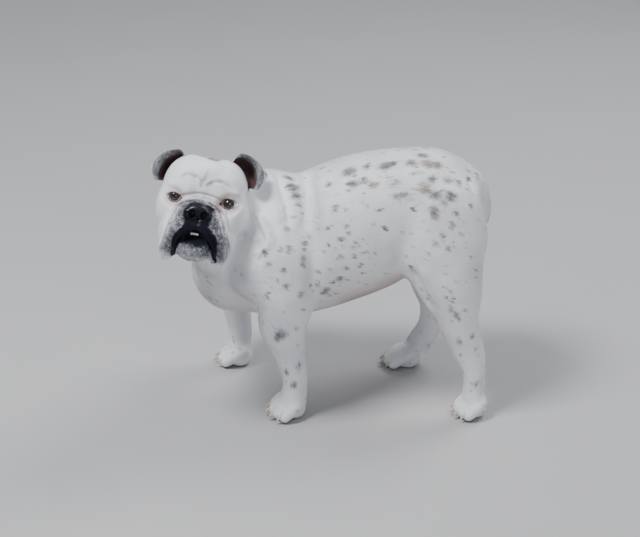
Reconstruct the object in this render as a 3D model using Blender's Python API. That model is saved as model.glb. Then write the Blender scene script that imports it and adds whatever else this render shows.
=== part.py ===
"""A standing English bulldog, life size, as a still model such as a museum shows.

The flesh is modelled whole: the trunk, neck and limbs are lofts through a few measured stations, and the skull,
muzzle, muscles and toes are balls and ropes. A voxel remesh melts them into one body, and thin cuts part that
body into the pieces that a person would name. Ears, eyes, claws and teeth are made on their own.

Metres, +Z up. The dog faces -Y, its left side is +X, and its head is turned to its left. The finished model
stands with its origin under the middle of its box.
"""

from math import cos, pi, radians, sin

import bmesh
import bpy
import numpy as np
from mathutils import Euler, Matrix, Vector

# Driving dimensions. Y is counted from the left forepaw, and Z from the ground.
WITHERS_Z = 0.373
LOIN_Z = 0.430
FORE_STRIDE = 0.084  # how far the right forefoot stands ahead of the left one
EYES_MIDDLE = Vector((0.115, -0.1367, 0.387))
HEAD_YAW, HEAD_PITCH, HEAD_ROLL = radians(84.5), radians(-20), radians(7)
EYE_SPACING, EYE_RADIUS = 0.084, 0.0118

GAP = 0.0003
CM = 0.01
RING_POINTS = 24
BODY_VOXEL, HEAD_VOXEL, PAW_VOXEL, EAR_VOXEL = 0.005, 0.0022, 0.0018, 0.0012
BODY_FACES, HEAD_FACES, PAW_FACES, TAIL_FACES, EAR_FACES = 4600, 5500, 490, 270, 460

# Trunk stations from chest to rump: y, top, bottom, half-width.
TRUNK = (
    (-0.138, 0.270, 0.198, 0.034),
    (-0.110, 0.308, 0.166, 0.078),
    (-0.068, 0.342, 0.150, 0.102),
    (-0.020, 0.364, 0.148, 0.114),
    (0.031, WITHERS_Z, 0.155, 0.119),
    (0.080, 0.395, 0.172, 0.120),
    (0.130, 0.416, 0.192, 0.116),
    (0.170, 0.427, 0.217, 0.107),
    (0.206, LOIN_Z, 0.243, 0.100),
    (0.245, 0.429, 0.262, 0.094),
    (0.280, 0.416, 0.280, 0.084),
    (0.303, 0.398, 0.300, 0.066),
    (0.316, 0.372, 0.322, 0.038),
)
# Neck stations from the shoulders to the skull: centre, half-width across, half-height.
NECK = (
    ((0.000, 0.020, 0.282), 0.102, 0.090),
    ((0.000, -0.025, 0.300), 0.096, 0.092),
    ((0.004, -0.068, 0.316), 0.086, 0.076),
    ((0.020, -0.104, 0.334), 0.075, 0.066),
    ((0.050, -0.122, 0.346), 0.066, 0.058),
)
# Foreleg stations from shoulder to wrist, for the left leg: x, y, z, half-width, half-depth.
FORELEG = (
    (0.078, -0.030, 0.320, 0.042, 0.055),
    (0.094, -0.020, 0.280, 0.048, 0.060),
    (0.104, -0.006, 0.235, 0.046, 0.053),
    (0.107, -0.003, 0.200, 0.042, 0.046),
    (0.105, -0.006, 0.165, 0.037, 0.041),
    (0.101, 0.003, 0.134, 0.032, 0.033),
    (0.099, 0.011, 0.099, 0.029, 0.026),
    (0.098, 0.018, 0.060, 0.028, 0.0225),
    (0.098, 0.014, 0.030, 0.028, 0.023),
)
# Hind leg stations from hip to hock and heel. The right leg stands further forward.
HIND_LEG_LEFT = (
    (0.058, 0.225, 0.350, 0.042, 0.072),
    (0.072, 0.243, 0.300, 0.048, 0.080),
    (0.084, 0.258, 0.250, 0.045, 0.062),
    (0.092, 0.270, 0.207, 0.039, 0.050),
    (0.095, 0.280, 0.165, 0.033, 0.035),
    (0.095, 0.299, 0.118, 0.027, 0.030),
    (0.097, 0.313, 0.076, 0.025, 0.021),
    (0.100, 0.312, 0.030, 0.026, 0.019),
)
HIND_LEG_RIGHT = (
    (-0.058, 0.222, 0.350, 0.042, 0.072),
    (-0.072, 0.236, 0.300, 0.047, 0.078),
    (-0.084, 0.245, 0.250, 0.044, 0.062),
    (-0.090, 0.254, 0.207, 0.038, 0.048),
    (-0.090, 0.258, 0.163, 0.032, 0.038),
    (-0.088, 0.273, 0.118, 0.027, 0.033),
    (-0.086, 0.263, 0.072, 0.025, 0.0235),
    (-0.083, 0.240, 0.034, 0.027, 0.025),
)
# The screw tail: centre and radius, from its root to its tip.
TAIL = (
    ((0.000, 0.282, 0.382), 0.022),
    ((0.000, 0.305, 0.377), 0.0195),
    ((0.003, 0.319, 0.353), 0.0170),
    ((0.006, 0.323, 0.326), 0.0160),
    ((0.006, 0.321, 0.303), 0.0120),
)
# Paws: middle of the sole, length, width, turn about Z.
PAWS = {
    "forepaw_left": ((0.099, 0.008), 0.062, 0.062, 18),
    "forepaw_right": ((-0.091, -0.073), 0.060, 0.060, -8),
    "hindpaw_left": ((0.103, 0.311), 0.052, 0.053, 14),
    "hindpaw_right": ((-0.079, 0.219), 0.068, 0.054, -4),
}
PAW_TOP = 0.044

WHITE, GREY, BLACK = (0.78, 0.79, 0.82), (0.12, 0.12, 0.14), (0.015, 0.016, 0.020)


def head_matrix():
    """From the head's own axes, in centimetres from midway between the eyes, to the dog's."""
    turn = Matrix.Rotation(HEAD_YAW, 4, "Z") @ Matrix.Rotation(HEAD_PITCH, 4, "X")
    turn = turn @ Matrix.Rotation(HEAD_ROLL, 4, "Y")
    return Matrix.Translation(EYES_MIDDLE) @ turn @ Matrix.Diagonal((CM, CM, CM, 1))


HEAD = head_matrix()


def spline(stations, count):
    """Smooth rows through the stations, as many as count, by Catmull-Rom."""
    rows = np.array(stations, float)
    rows = np.vstack([2 * rows[0] - rows[1], rows, 2 * rows[-1] - rows[-2]])
    steps = np.linspace(0, len(stations) - 1, count)
    first = np.minimum(steps.astype(int), len(stations) - 2)
    t = (steps - first)[:, None]
    a, b, c, d = (rows[first + k] for k in range(4))
    return 0.5 * (2 * b + (c - a) * t + (2 * a - 5 * b + 4 * c - d) * t**2 + (3 * b - a - 3 * c + d) * t**3)


def skin_rings(bm, rings):
    """Bridges closed rings of equal count into a tube and fans its two ends shut."""
    made = [[bm.verts.new(point) for point in ring] for ring in rings]
    for near, far in zip(made, made[1:]):
        for i in range(len(near)):
            j = (i + 1) % len(near)
            bm.faces.new((near[i], near[j], far[j], far[i]))
    for ring, turned in ((made[0], True), (made[-1], False)):
        middle = bm.verts.new(sum((v.co for v in ring), Vector()) / len(ring))
        for i in range(len(ring)):
            j = (i + 1) % len(ring)
            corners = (ring[j], ring[i], middle) if turned else (ring[i], ring[j], middle)
            bm.faces.new(corners)


def loft(bm, centres, across, halves, matrix=None, bulge=2.0, points=RING_POINTS):
    """A tube of superelliptic rings square to its path. across is the direction of the first half-width."""
    centres = np.array(centres, float)
    tangents = np.gradient(centres, axis=0)
    rings = []
    for centre, tangent, (first, second) in zip(centres, tangents, halves):
        along = Vector(tangent).normalized()
        side = Vector(across) - along * along.dot(Vector(across))
        side.normalize()
        up = along.cross(side)
        ring = []
        for i in range(points):
            angle = 2 * pi * i / points
            c = abs(cos(angle)) ** (2 / bulge) * (1 if cos(angle) >= 0 else -1)
            s = abs(sin(angle)) ** (2 / bulge) * (1 if sin(angle) >= 0 else -1)
            point = Vector(centre) + side * first * c + up * second * s
            ring.append(matrix @ point if matrix else point)
        rings.append(ring)
    skin_rings(bm, rings)


def ball(bm, centre, radii, turn=(0, 0, 0), matrix=None, rounds=4):
    """An ellipsoid."""
    place = Matrix.Translation(centre) @ Euler([radians(a) for a in turn]).to_matrix().to_4x4()
    place = place @ Matrix.Diagonal((*radii, 1))
    place = matrix @ place if matrix else place
    bmesh.ops.create_icosphere(bm, subdivisions=rounds, radius=1, matrix=place)


def rope(bm, points, radii, matrix=None, count=24):
    """A round tube through points, closed with balls, for folds, toes and the tail."""
    rows = spline([(*p, r) for p, r in zip(points, radii)], count)
    directions = np.gradient(rows[:, :3], axis=0)
    across = np.cross(directions.mean(axis=0), (0.3, 0.5, 0.8))
    loft(bm, rows[:, :3], across, [(r, r) for r in rows[:, 3]], matrix)
    for end in (rows[0], rows[-1]):
        ball(bm, end[:3], (end[3],) * 3, matrix=matrix)


def trunk(bm):
    rows = spline(TRUNK, 40)
    centres = [(0, y, (top + bottom) / 2) for y, top, bottom, half in rows]
    halves = [(half, (top - bottom) / 2) for y, top, bottom, half in rows]
    loft(bm, centres, (1, 0, 0), halves, bulge=2.2)
    ball(bm, (0, -0.080, 0.225), (0.090, 0.074, 0.074))
    ball(bm, (0, 0.172, 0.228), (0.020, 0.046, 0.019), (-28, 0, 0))


def neck(bm):
    rows = spline([(*centre, wide, tall) for centre, wide, tall in NECK], 20)
    loft(bm, rows[:, :3], (0.75, 0.6, 0), rows[:, 3:])
    ball(bm, (0.030, -0.108, 0.285), (0.066, 0.046, 0.074))
    ball(bm, (0.006, -0.028, 0.344), (0.062, 0.050, 0.052))


def leg(bm, stations):
    rows = spline(stations, 36)
    loft(bm, rows[:, :3], (1, 0, 0), rows[:, 3:])


def right_foreleg():
    """The left foreleg's stations mirrored, and swung forward by the stride from the elbow down."""
    top, drop = 0.36, 0.20
    return [(-x, y - FORE_STRIDE * min(1, (top - z) / drop), z, a, b) for x, y, z, a, b in FORELEG]


def shoulder(bm, side, ahead):
    """Shoulder blade and upper arm. ahead moves them forward with the leg."""
    ball(bm, (side * 0.072, -0.018 - ahead * 0.4, 0.300), (0.042, 0.064, 0.064), (-25, 0, 0))
    ball(bm, (side * 0.096, -0.046 - ahead * 0.7, 0.258), (0.038, 0.050, 0.050), (30, 0, 0))


def haunch(bm, side, ahead):
    ball(bm, (side * 0.060, 0.243 - ahead, 0.322), (0.052, 0.078, 0.082), (10, 0, 0))
    ball(bm, (side * 0.046, 0.285 - ahead * 0.3, 0.292), (0.044, 0.044, 0.066))


def body(bm):
    trunk(bm)
    neck(bm)
    leg(bm, FORELEG)
    leg(bm, right_foreleg())
    leg(bm, HIND_LEG_LEFT)
    leg(bm, HIND_LEG_RIGHT)
    shoulder(bm, 1, 0)
    shoulder(bm, -1, 0.05)
    haunch(bm, 1, 0)
    haunch(bm, -1, 0.01)


def skull(bm):
    """The head's masses in its own axes, in centimetres."""
    ball(bm, (0, 1.9, 3.3), (4.6, 2.6, 3.0), matrix=HEAD)
    ball(bm, (0, 5.2, 1.7), (3.6, 6.0, 5.0), matrix=HEAD)
    ball(bm, (0, 3.5, -6.3), (4.4, 4.5, 3.2), matrix=HEAD)
    ball(bm, (0, -0.9, -3.5), (4.4, 3.2, 3.1), matrix=HEAD)
    ball(bm, (0, -3.4, -1.8), (2.3, 1.6, 1.4), matrix=HEAD)
    ball(bm, (0.1, -2.9, -7.6), (2.9, 2.0, 1.9), matrix=HEAD)
    ball(bm, (0, 0.5, -7.4), (3.8, 4.0, 2.0), matrix=HEAD)
    rope(bm, ((-4.2, -0.6, -3.2), (-2.9, -1.9, -1.0), (-0.2, -2.7, -0.25), (2.7, -1.9, -1.0), (4.2, -0.6, -3.2)),
         (0.5, 0.65, 0.62, 0.65, 0.5), HEAD)
    for side in (-1, 1):
        ball(bm, (side * 2.5, 5.2, 1.5), (4.3, 6.2, 5.2), matrix=HEAD)
        ball(bm, (side * 3.3, 0.9, 1.9), (2.5, 1.7, 1.2), (0, side * 10, 0), HEAD)
        ball(bm, (side * 4.2, 0.95, 0), (1.75, 1.62, 1.62), matrix=HEAD)
        ball(bm, (side * 4.6, 3.6, -1.5), (2.7, 4.2, 4.3), matrix=HEAD)
        ball(bm, (side * 4.0, 2.2, -5.8), (2.2, 3.4, 3.4), matrix=HEAD)
        ball(bm, (side * 3.2, -0.9, -5.4), (2.2, 2.9, 3.2), matrix=HEAD)
        ball(bm, (side * 3.9, -0.9, -7.6), (1.6, 2.4, 2.2), matrix=HEAD)
        rope(bm, [(side * x, y, z) for x, y, z in ((0.8, -4.0, -4.0), (2.4, -3.8, -4.9), (3.6, -3.0, -6.5),
                                                   (4.15, -1.9, -8.3), (4.2, -1.0, -9.3))],
             (1.1, 1.35, 1.25, 1.0, 0.85), HEAD)


def nose_leather(bm):
    ball(bm, (0, -4.15, -1.45), (1.95, 1.2, 1.25), matrix=HEAD)
    for side in (-1, 1):
        ball(bm, (side * 1.2, -4.5, -1.95), (0.95, 0.95, 0.90), matrix=HEAD)


def nostril_rounds(bm):
    for side in (-1, 1):
        ball(bm, (side * 0.85, -5.5, -2.30), (0.36, 0.85, 0.40), (0, 0, side * -20), HEAD, 2)


def nostril_slits(bm):
    for side in (-1, 1):
        ball(bm, (side * 1.40, -5.45, -2.05), (0.62, 0.70, 0.15), (0, side * 25, side * -20), HEAD, 2)


def paw(bm, name):
    """Four toes and the pads, with Y along the foot."""
    (x, y), length, width, turn = PAWS[name]
    place = Matrix.Translation((x, y, 0)) @ Matrix.Rotation(radians(turn), 4, "Z")
    ball(bm, (0, 0.006, 0.016), (width * 0.42, length * 0.38, 0.022), matrix=place)
    ball(bm, (0, length * 0.20, 0.010), (width * 0.30, length * 0.22, 0.013), matrix=place)
    for toe in (-1.5, -0.5, 0.5, 1.5):
        outer = abs(toe) > 1
        tip = -length * (0.27 if outer else 0.39)
        across = toe * width * 0.25
        root = tip + length * 0.52
        rope(bm, ((across * 0.65, root, 0.031), (across, tip + 0.015, 0.0230), (across * 1.06, tip, 0.0105)),
             (0.0105, 0.0115, 0.0100), place)


def claws(bm, name):
    """A short blunt claw on each toe, its root sunk in the toe."""
    (x, y), length, width, turn = PAWS[name]
    place = Matrix.Translation((x, y, 0)) @ Matrix.Rotation(radians(turn), 4, "Z")
    for toe in (-1.5, -0.5, 0.5, 1.5):
        tip = -length * (0.27 if abs(toe) > 1 else 0.39)
        across = toe * width * 0.265
        path = ((across, tip - 0.003, 0.013), (across, tip - 0.0095, 0.0110), (across, tip - 0.0140, 0.0060))
        rows = spline(path, 4)
        loft(bm, rows, (1, 0, 0), [(r * 0.8, r) for r in (0.0034, 0.0034, 0.0028, 0.0014)], place, points=8)


def lower_teeth(bm):
    """The row of lower incisors that the undershot jaw shows."""
    for place in (-0.60, -0.22, 0.20, 0.58):
        ball(bm, (place, -3.85, -5.30), (0.18, 0.16, 0.36), matrix=HEAD, rounds=1)


def mesh_object(name, bm):
    mesh = bpy.data.meshes.new(name)
    bm.to_mesh(mesh)
    bm.free()
    made = bpy.data.objects.new(name, mesh)
    bpy.context.scene.collection.objects.link(made)
    return made


def built(name, *makers):
    bm = bmesh.new()
    for maker in makers:
        maker(bm)
    return mesh_object(name, bm)


def applied(thing):
    """Gives the object its evaluated mesh, keeps that mesh's largest closed surface and clears the modifiers."""
    graph = bpy.context.evaluated_depsgraph_get()
    mesh = bpy.data.meshes.new_from_object(thing.evaluated_get(graph))
    thing.modifiers.clear()
    thing.data = mesh
    return thing


def largest(thing):
    """Keeps the largest closed surface of a mesh."""
    bm = bmesh.new()
    bm.from_mesh(thing.data)
    bmesh.ops.remove_doubles(bm, verts=bm.verts, dist=1e-6)
    left = set(bm.verts)
    groups = []
    while left:
        group, edge = set(), [left.pop()]
        while edge:
            vert = edge.pop()
            group.add(vert)
            near = {e.other_vert(vert) for e in vert.link_edges} & left
            left -= near
            edge.extend(near)
        groups.append(group)
    groups.sort(key=len)
    for group in groups[:-1]:
        bmesh.ops.delete(bm, geom=list(group), context="VERTS")
    bmesh.ops.triangulate(bm, faces=bm.faces)
    bm.to_mesh(thing.data)
    bm.free()
    return thing


def melted(thing, voxel, smoothing, faces):
    """Melts overlapping closed shapes into one smooth body of about so many triangles."""
    remesh = thing.modifiers.new("Melt", "REMESH")
    remesh.mode = "VOXEL"
    remesh.voxel_size = voxel
    smooth = thing.modifiers.new("Smooth", "SMOOTH")
    smooth.factor = 0.5
    smooth.iterations = smoothing
    largest(applied(thing))
    fewer = thing.modifiers.new("Fewer", "DECIMATE")
    fewer.ratio = faces / len(thing.data.polygons)
    return largest(applied(thing))


def copied(thing, name):
    twin = bpy.data.objects.new(name, thing.data.copy())
    bpy.context.scene.collection.objects.link(twin)
    return twin


def shape(thing, cutter, operation, solver="EXACT"):
    """One Boolean, applied. DIFFERENCE takes the cutter away, INTERSECT keeps what lies in it."""
    boolean = thing.modifiers.new(operation, "BOOLEAN")
    boolean.operation = operation
    boolean.object = cutter
    boolean.solver = solver
    return largest(applied(thing))


def fused(name, first, second):
    """Two overlapping shapes united into one cutter, which may still have two mirrored halves."""
    whole, added = built(name, first), built("added", second)
    union = whole.modifiers.new("Fuse", "BOOLEAN")
    union.operation = "UNION"
    union.object = added
    union.solver = "EXACT"
    applied(whole)
    discard(added)
    return whole


def box(name, low, high, matrix=None, grow=0.0):
    bm = bmesh.new()
    bmesh.ops.create_cube(bm, size=1)
    low, high = Vector(low) - Vector((grow,) * 3), Vector(high) + Vector((grow,) * 3)
    for vert in bm.verts:
        point = Vector((high[i] if vert.co[i] > 0 else low[i] for i in range(3)))
        vert.co = matrix @ point if matrix else point
    return mesh_object(name, bm)


def discard(*things):
    for thing in things:
        bpy.data.objects.remove(thing)


def head_box(low, high, grow=0.0):
    return box("head_box", low, high, HEAD, grow / CM)


# Where the body is parted, as boxes: low corner, high corner, and the place that turns them.
NECK_CUT = Matrix.Translation((0, -0.066, 0.316)) @ Euler((radians(39), 0, 0)).to_matrix().to_4x4()
HEAD_CUT = Matrix.Translation((0.030, -0.095, 0.360)) @ (
    Vector((0.6, -0.7, 0.4)).to_track_quat("Z", "Y").to_matrix().to_4x4())
REGIONS = {
    "neck": ((-0.3, -0.3, 0), (0.3, 0.3, 0.3), NECK_CUT),
    "head": ((-0.2, -0.2, 0), (0.2, 0.2, 0.3), HEAD_CUT),
    "foreleg_left": ((0.066, -0.090, PAW_TOP), (0.200, 0.080, 0.246), None),
    "foreleg_right": ((-0.200, -0.170, PAW_TOP), (-0.066, 0.060, 0.246), None),
    "thigh_left": ((0.036, 0.185, 0.158), (0.200, 0.400, 0.322), None),
    "thigh_right": ((-0.200, 0.160, 0.158), (-0.036, 0.400, 0.322), None),
    "hindleg_left": ((0.036, 0.185, PAW_TOP), (0.200, 0.400, 0.158 - GAP), None),
    "hindleg_right": ((-0.200, 0.160, PAW_TOP), (-0.036, 0.400, 0.158 - GAP), None),
}


def region(name, grow=0.0):
    low, high, matrix = REGIONS[name]
    return box("region", low, high, matrix, grow)


def material(name, colour, roughness):
    made = bpy.data.materials.new(name)
    made.use_nodes = True
    shader = made.node_tree.nodes["Principled BSDF"]
    shader.inputs["Base Color"].default_value = (*colour, 1)
    shader.inputs["Roughness"].default_value = roughness
    shader.inputs["Metallic"].default_value = 0
    return made


def finish(thing, colour, roughness):
    """Gives a piece its material and smooth shading."""
    thing.data.materials.clear()
    thing.data.materials.append(material(thing.name, colour, roughness))
    thing.data.shade_smooth()
    thing.data.set_sharp_from_angle(angle=radians(50))


def take(source, name):
    """The part of a melted body that lies in one region."""
    piece = copied(source, name)
    cutter = region(name)
    shape(piece, cutter, "INTERSECT")
    discard(cutter)
    return piece


def part_body():
    """Torso, neck, legs and tail from one melted body."""
    whole = melted(built("whole", body, skull), BODY_VOXEL, 16, BODY_FACES)
    cut_names = [name for name in REGIONS if name not in ("head", "neck")]
    torso = copied(whole, "torso")
    for name in (*cut_names, "neck", "head"):
        cutter = region(name, GAP)
        shape(torso, cutter, "DIFFERENCE")
        discard(cutter)
    neck_piece = take(whole, "neck")
    cutter = region("head", GAP)
    shape(neck_piece, cutter, "DIFFERENCE")
    discard(cutter)
    for name in cut_names:
        finish(take(whole, name), WHITE, 0.8)
    finish(torso, WHITE, 0.8)
    finish(neck_piece, WHITE, 0.8)
    discard(whole)
    return torso


def make_tail(torso):
    tail = melted(built("tail", lambda bm: rope(bm, [c for c, r in TAIL], [r for c, r in TAIL])), 0.002, 6,
                  TAIL_FACES)
    subtract_grown(tail, torso)
    finish(tail, WHITE, 0.8)


def subtract_grown(thing, neighbour, solver="EXACT"):
    """Cuts a piece back from its neighbour, with the gap that touching pieces keep."""
    grown = copied(neighbour, "grown")
    swell = grown.modifiers.new("Swell", "DISPLACE")
    swell.strength = GAP
    swell.mid_level = 0
    applied(grown)
    shape(thing, grown, "DIFFERENCE", solver)
    discard(grown)


def make_paw(name):
    piece = built(name, lambda bm: paw(bm, name), lambda bm: leg(bm, lower_leg(name)))
    melted(piece, PAW_VOXEL, 5, PAW_FACES)
    ground = box("ground", (-0.3, -0.3, 0), (0.3, 0.5, PAW_TOP - GAP))
    claw = built("claws", lambda bm: claws(bm, name))
    shape(piece, claw, "UNION")
    shape(piece, ground, "INTERSECT")
    discard(ground, claw)
    finish(piece, WHITE, 0.8)


def lower_leg(name):
    """The last stations of the leg that a paw ends."""
    legs = {
        "forepaw_left": FORELEG,
        "forepaw_right": right_foreleg(),
        "hindpaw_left": HIND_LEG_LEFT,
        "hindpaw_right": HIND_LEG_RIGHT,
    }
    return legs[name][-3:]


def mouth_prism(name, grow):
    """The arch under which the lower jaw lies, drawn across the face and run straight back."""
    half, top, bottom, front, back = 3.25, -5.05, -12.0, -9.0, 1.6
    outline = [(half * cos(a), top - 4.1 + 4.1 * sin(a)) for a in np.linspace(0, pi, 15)]
    outline = [(x * (1 + grow / half), z + grow) for x, z in outline]
    outline = [(half + grow, bottom)] + outline + [(-half - grow, bottom)]
    bm = bmesh.new()
    near = [bm.verts.new(HEAD @ Vector((x, front, z))) for x, z in outline]
    far = [bm.verts.new(HEAD @ Vector((x, back + grow, z))) for x, z in outline]
    bm.faces.new(near[::-1])
    bm.faces.new(far)
    for i in range(len(near)):
        j = (i + 1) % len(near)
        bm.faces.new((near[i], near[j], far[j], far[i]))
    bmesh.ops.recalc_face_normals(bm, faces=bm.faces)
    return mesh_object(name, bm)


def make_head():
    """Head, lower jaw, nose, eyes and ears."""
    whole = melted(built("whole_head", skull, nose_leather, neck), HEAD_VOXEL, 5, HEAD_FACES)
    head = take(whole, "head")
    jaw = copied(head, "lower_jaw")
    nose = copied(head, "nose")
    nose_low, nose_high = (-2.2, -9, -3.0), (2.2, -4.1, -0.35)
    cutters = {
        "jaw": mouth_prism("jaw_prism", 0),
        "mouth": mouth_prism("mouth_prism", GAP / CM),
        "nose": head_box(nose_low, nose_high),
        "nose_grown": head_box(nose_low, nose_high, GAP),
        "nostrils": fused("nostrils", nostril_rounds, nostril_slits),
        "teeth": built("teeth", lower_teeth),
    }
    shape(jaw, cutters["jaw"], "INTERSECT")
    shape(jaw, cutters["teeth"], "UNION")
    shape(nose, cutters["nose"], "INTERSECT")
    shape(nose, cutters["nostrils"], "DIFFERENCE")
    shape(head, cutters["mouth"], "DIFFERENCE")
    shape(head, cutters["nose_grown"], "DIFFERENCE")
    opening = built("opening", lambda bm: ball(bm, (0, -4.4, -5.12), (1.2, 1.6, 0.36), matrix=HEAD, rounds=2))
    shape(head, opening, "DIFFERENCE")
    for side, name in ((1, "eye_left"), (-1, "eye_right")):
        make_eye(head, side, name)
    for side, name in ((1, "ear_left"), (-1, "ear_right")):
        make_ear(head, side, name)
    discard(whole, opening, *cutters.values())
    finish(head, WHITE, 0.8)
    finish(jaw, GREY, 0.7)
    finish(nose, BLACK, 0.35)


def make_eye(head, side, name):
    """A round eyeball in its socket, seen through an almond between the lids."""
    centre = (side * EYE_SPACING / 2 / CM, 1.05, 0)
    radius = EYE_RADIUS / CM
    socket = fused("socket", lambda bm: ball(bm, centre, (radius + GAP / CM,) * 3, matrix=HEAD, rounds=3),
                   lambda bm: ball(bm, (centre[0], -0.6, 0), (1.08, 1.6, 0.62), (0, side * 6, 0), HEAD, 3))
    shape(head, socket, "DIFFERENCE")
    eye = built(name, lambda bm: ball(bm, centre, (radius,) * 3, matrix=HEAD, rounds=3))
    discard(socket)
    finish(eye, BLACK, 0.1)


# Left ear stations from the front of its base round to the tip: base, hollow, rim and turned-back edge, each
# as x, y, z in the head's centimetres.
EAR = (
    ((3.3, 4.6, 6.0), (3.6, 5.4, 6.7), (4.0, 4.4, 7.3), (4.0, 5.6, 7.2)),
    ((3.6, 5.0, 5.8), (4.4, 7.2, 6.6), (4.9, 4.6, 8.0), (5.0, 6.4, 7.5)),
    ((4.2, 5.4, 5.2), (5.6, 7.8, 5.9), (6.4, 4.8, 7.6), (6.8, 6.6, 6.9)),
    ((4.8, 5.6, 4.6), (6.5, 8.0, 5.1), (7.6, 4.7, 6.6), (8.3, 6.8, 6.1)),
    ((5.2, 5.6, 3.9), (6.9, 7.8, 4.3), (8.1, 4.4, 5.2), (9.2, 6.6, 5.2)),
    ((5.6, 5.4, 3.2), (7.0, 6.8, 3.5), (8.3, 4.4, 3.9), (8.9, 5.8, 4.2)),
    ((5.9, 5.2, 2.8), (6.9, 5.6, 2.7), (7.9, 4.6, 2.6), (8.2, 5.0, 2.8)),
)
EAR_THICK = 0.0042
EAR_DROP = {"ear_left": 0.0, "ear_right": 0.95}


def make_ear(head, side, name):
    """A thin rose ear: a hollow with its rim rolled back, its base set against the skull."""
    bm = bmesh.new()
    across = [spline(station, 8) for station in EAR]
    grid = [spline([row[i] for row in across], 15) for i in range(8)]
    drop = EAR_DROP[name]
    verts = [[bm.verts.new(HEAD @ Vector((side * x, y, z - drop))) for x, y, z in row] for row in grid]
    for low, high in zip(verts, verts[1:]):
        for i in range(len(low) - 1):
            bm.faces.new((low[i], low[i + 1], high[i + 1], high[i]))
    bmesh.ops.recalc_face_normals(bm, faces=bm.faces)
    ear = mesh_object(name, bm)
    wall = ear.modifiers.new("Wall", "SOLIDIFY")
    wall.thickness = EAR_THICK
    wall.offset = 0
    melted(applied(ear), EAR_VOXEL, 3, EAR_FACES)
    subtract_grown(ear, head, "MANIFOLD")
    subtract_grown(ear, bpy.data.objects["neck"], "MANIFOLD")
    finish(ear, GREY, 0.8)


def stand_at_origin():
    """Moves every piece so that the origin lies under the middle of the model's box."""
    corners = [Vector(corner) for piece in bpy.data.objects for corner in piece.bound_box]
    x, y = ((min(c[i] for c in corners) + max(c[i] for c in corners)) / 2 for i in range(2))
    for piece in bpy.data.objects:
        piece.location = (-x, -y, 0)


def main():
    for old in list(bpy.data.objects):
        bpy.data.objects.remove(old)
    torso = part_body()
    make_head()
    for name in PAWS:
        make_paw(name)
    make_tail(torso)
    stand_at_origin()


main()
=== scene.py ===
"""The looks of a standing English bulldog, a still, life-size model such as a museum shows.

The file follows the animal: its skin, the folds of body and face, the markings, the eyes, the teeth, the claws
and the short coat, and then the floor, the light and the camera. Metres, +Z up, the dog faces -Y.
"""

import bmesh
import bpy
import numpy as np
from mathutils import Matrix, Vector
from mathutils.bvhtree import BVHTree
from mathutils.kdtree import KDTree


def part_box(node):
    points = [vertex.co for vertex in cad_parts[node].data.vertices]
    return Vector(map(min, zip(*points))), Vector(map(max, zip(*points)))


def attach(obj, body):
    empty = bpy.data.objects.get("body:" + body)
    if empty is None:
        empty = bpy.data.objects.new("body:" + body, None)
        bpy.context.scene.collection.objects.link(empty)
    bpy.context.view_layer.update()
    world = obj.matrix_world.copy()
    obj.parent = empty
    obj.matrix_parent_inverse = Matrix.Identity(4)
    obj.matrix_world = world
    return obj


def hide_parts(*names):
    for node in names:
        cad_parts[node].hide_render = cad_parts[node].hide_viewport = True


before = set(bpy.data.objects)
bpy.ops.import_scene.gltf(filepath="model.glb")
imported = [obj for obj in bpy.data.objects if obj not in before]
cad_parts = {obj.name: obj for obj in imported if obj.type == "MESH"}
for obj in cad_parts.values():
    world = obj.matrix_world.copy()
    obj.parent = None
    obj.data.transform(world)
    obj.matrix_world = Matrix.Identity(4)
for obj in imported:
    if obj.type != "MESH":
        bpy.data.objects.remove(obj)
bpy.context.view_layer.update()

# The head's own axes. The head is turned, lifted and tipped on the neck as one rigid thing, so that
# everything on the face is placed in centimetres from midway between the eyes: x to the dog's left, -y out of
# the face, z up.
CM = 0.01
HEAD_YAW, HEAD_PITCH, HEAD_ROLL = np.radians((84.5, -20.0, 7.0))
EYE_OUT, EYE_DEPTH = 4.2, 1.05
HEAD_TURN = np.array(Matrix.Rotation(HEAD_YAW, 3, "Z") @ Matrix.Rotation(HEAD_PITCH, 3, "X")
                     @ Matrix.Rotation(HEAD_ROLL, 3, "Y"))
EYE_BOXES = np.array([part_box("eye_right"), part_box("eye_left")], float)
HEAD_ORIGIN = EYE_BOXES.mean(axis=(0, 1)) - HEAD_TURN @ (0, EYE_DEPTH * CM, 0)


def from_head(points):
    """Head centimetres to metres: turned by the head's three angles, then carried to its origin."""
    return np.asarray(points, float) @ HEAD_TURN.T * CM + HEAD_ORIGIN


def to_head(points):
    """Metres to head centimetres, the other way round."""
    return (np.asarray(points, float) - HEAD_ORIGIN) @ HEAD_TURN / CM


def smooth_step(low, high, value):
    """0 below low, 1 above high and a cubic ease between; low may be the larger, which turns it round."""
    t = np.clip((np.asarray(value, float) - low) / (high - low), 0, 1)
    return t * t * (3 - 2 * t)


def spline(stations, count):
    """Smooth rows through the stations, as many as count, by Catmull-Rom."""
    rows = np.array(stations, float)
    rows = np.concatenate([2 * rows[:1] - rows[1:2], rows, 2 * rows[-1:] - rows[-2:-1]])
    steps = np.linspace(0, len(rows) - 3, count)
    first = np.minimum(steps.astype(int), len(rows) - 4)
    t = (steps - first).reshape(-1, *[1] * (rows.ndim - 1))
    a, b, c, d = (rows[first + k] for k in range(4))
    return 0.5 * (2 * b + (c - a) * t + (2 * a - 5 * b + 4 * c - d) * t**2 + (3 * b - a - 3 * c + d) * t**3)


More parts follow.
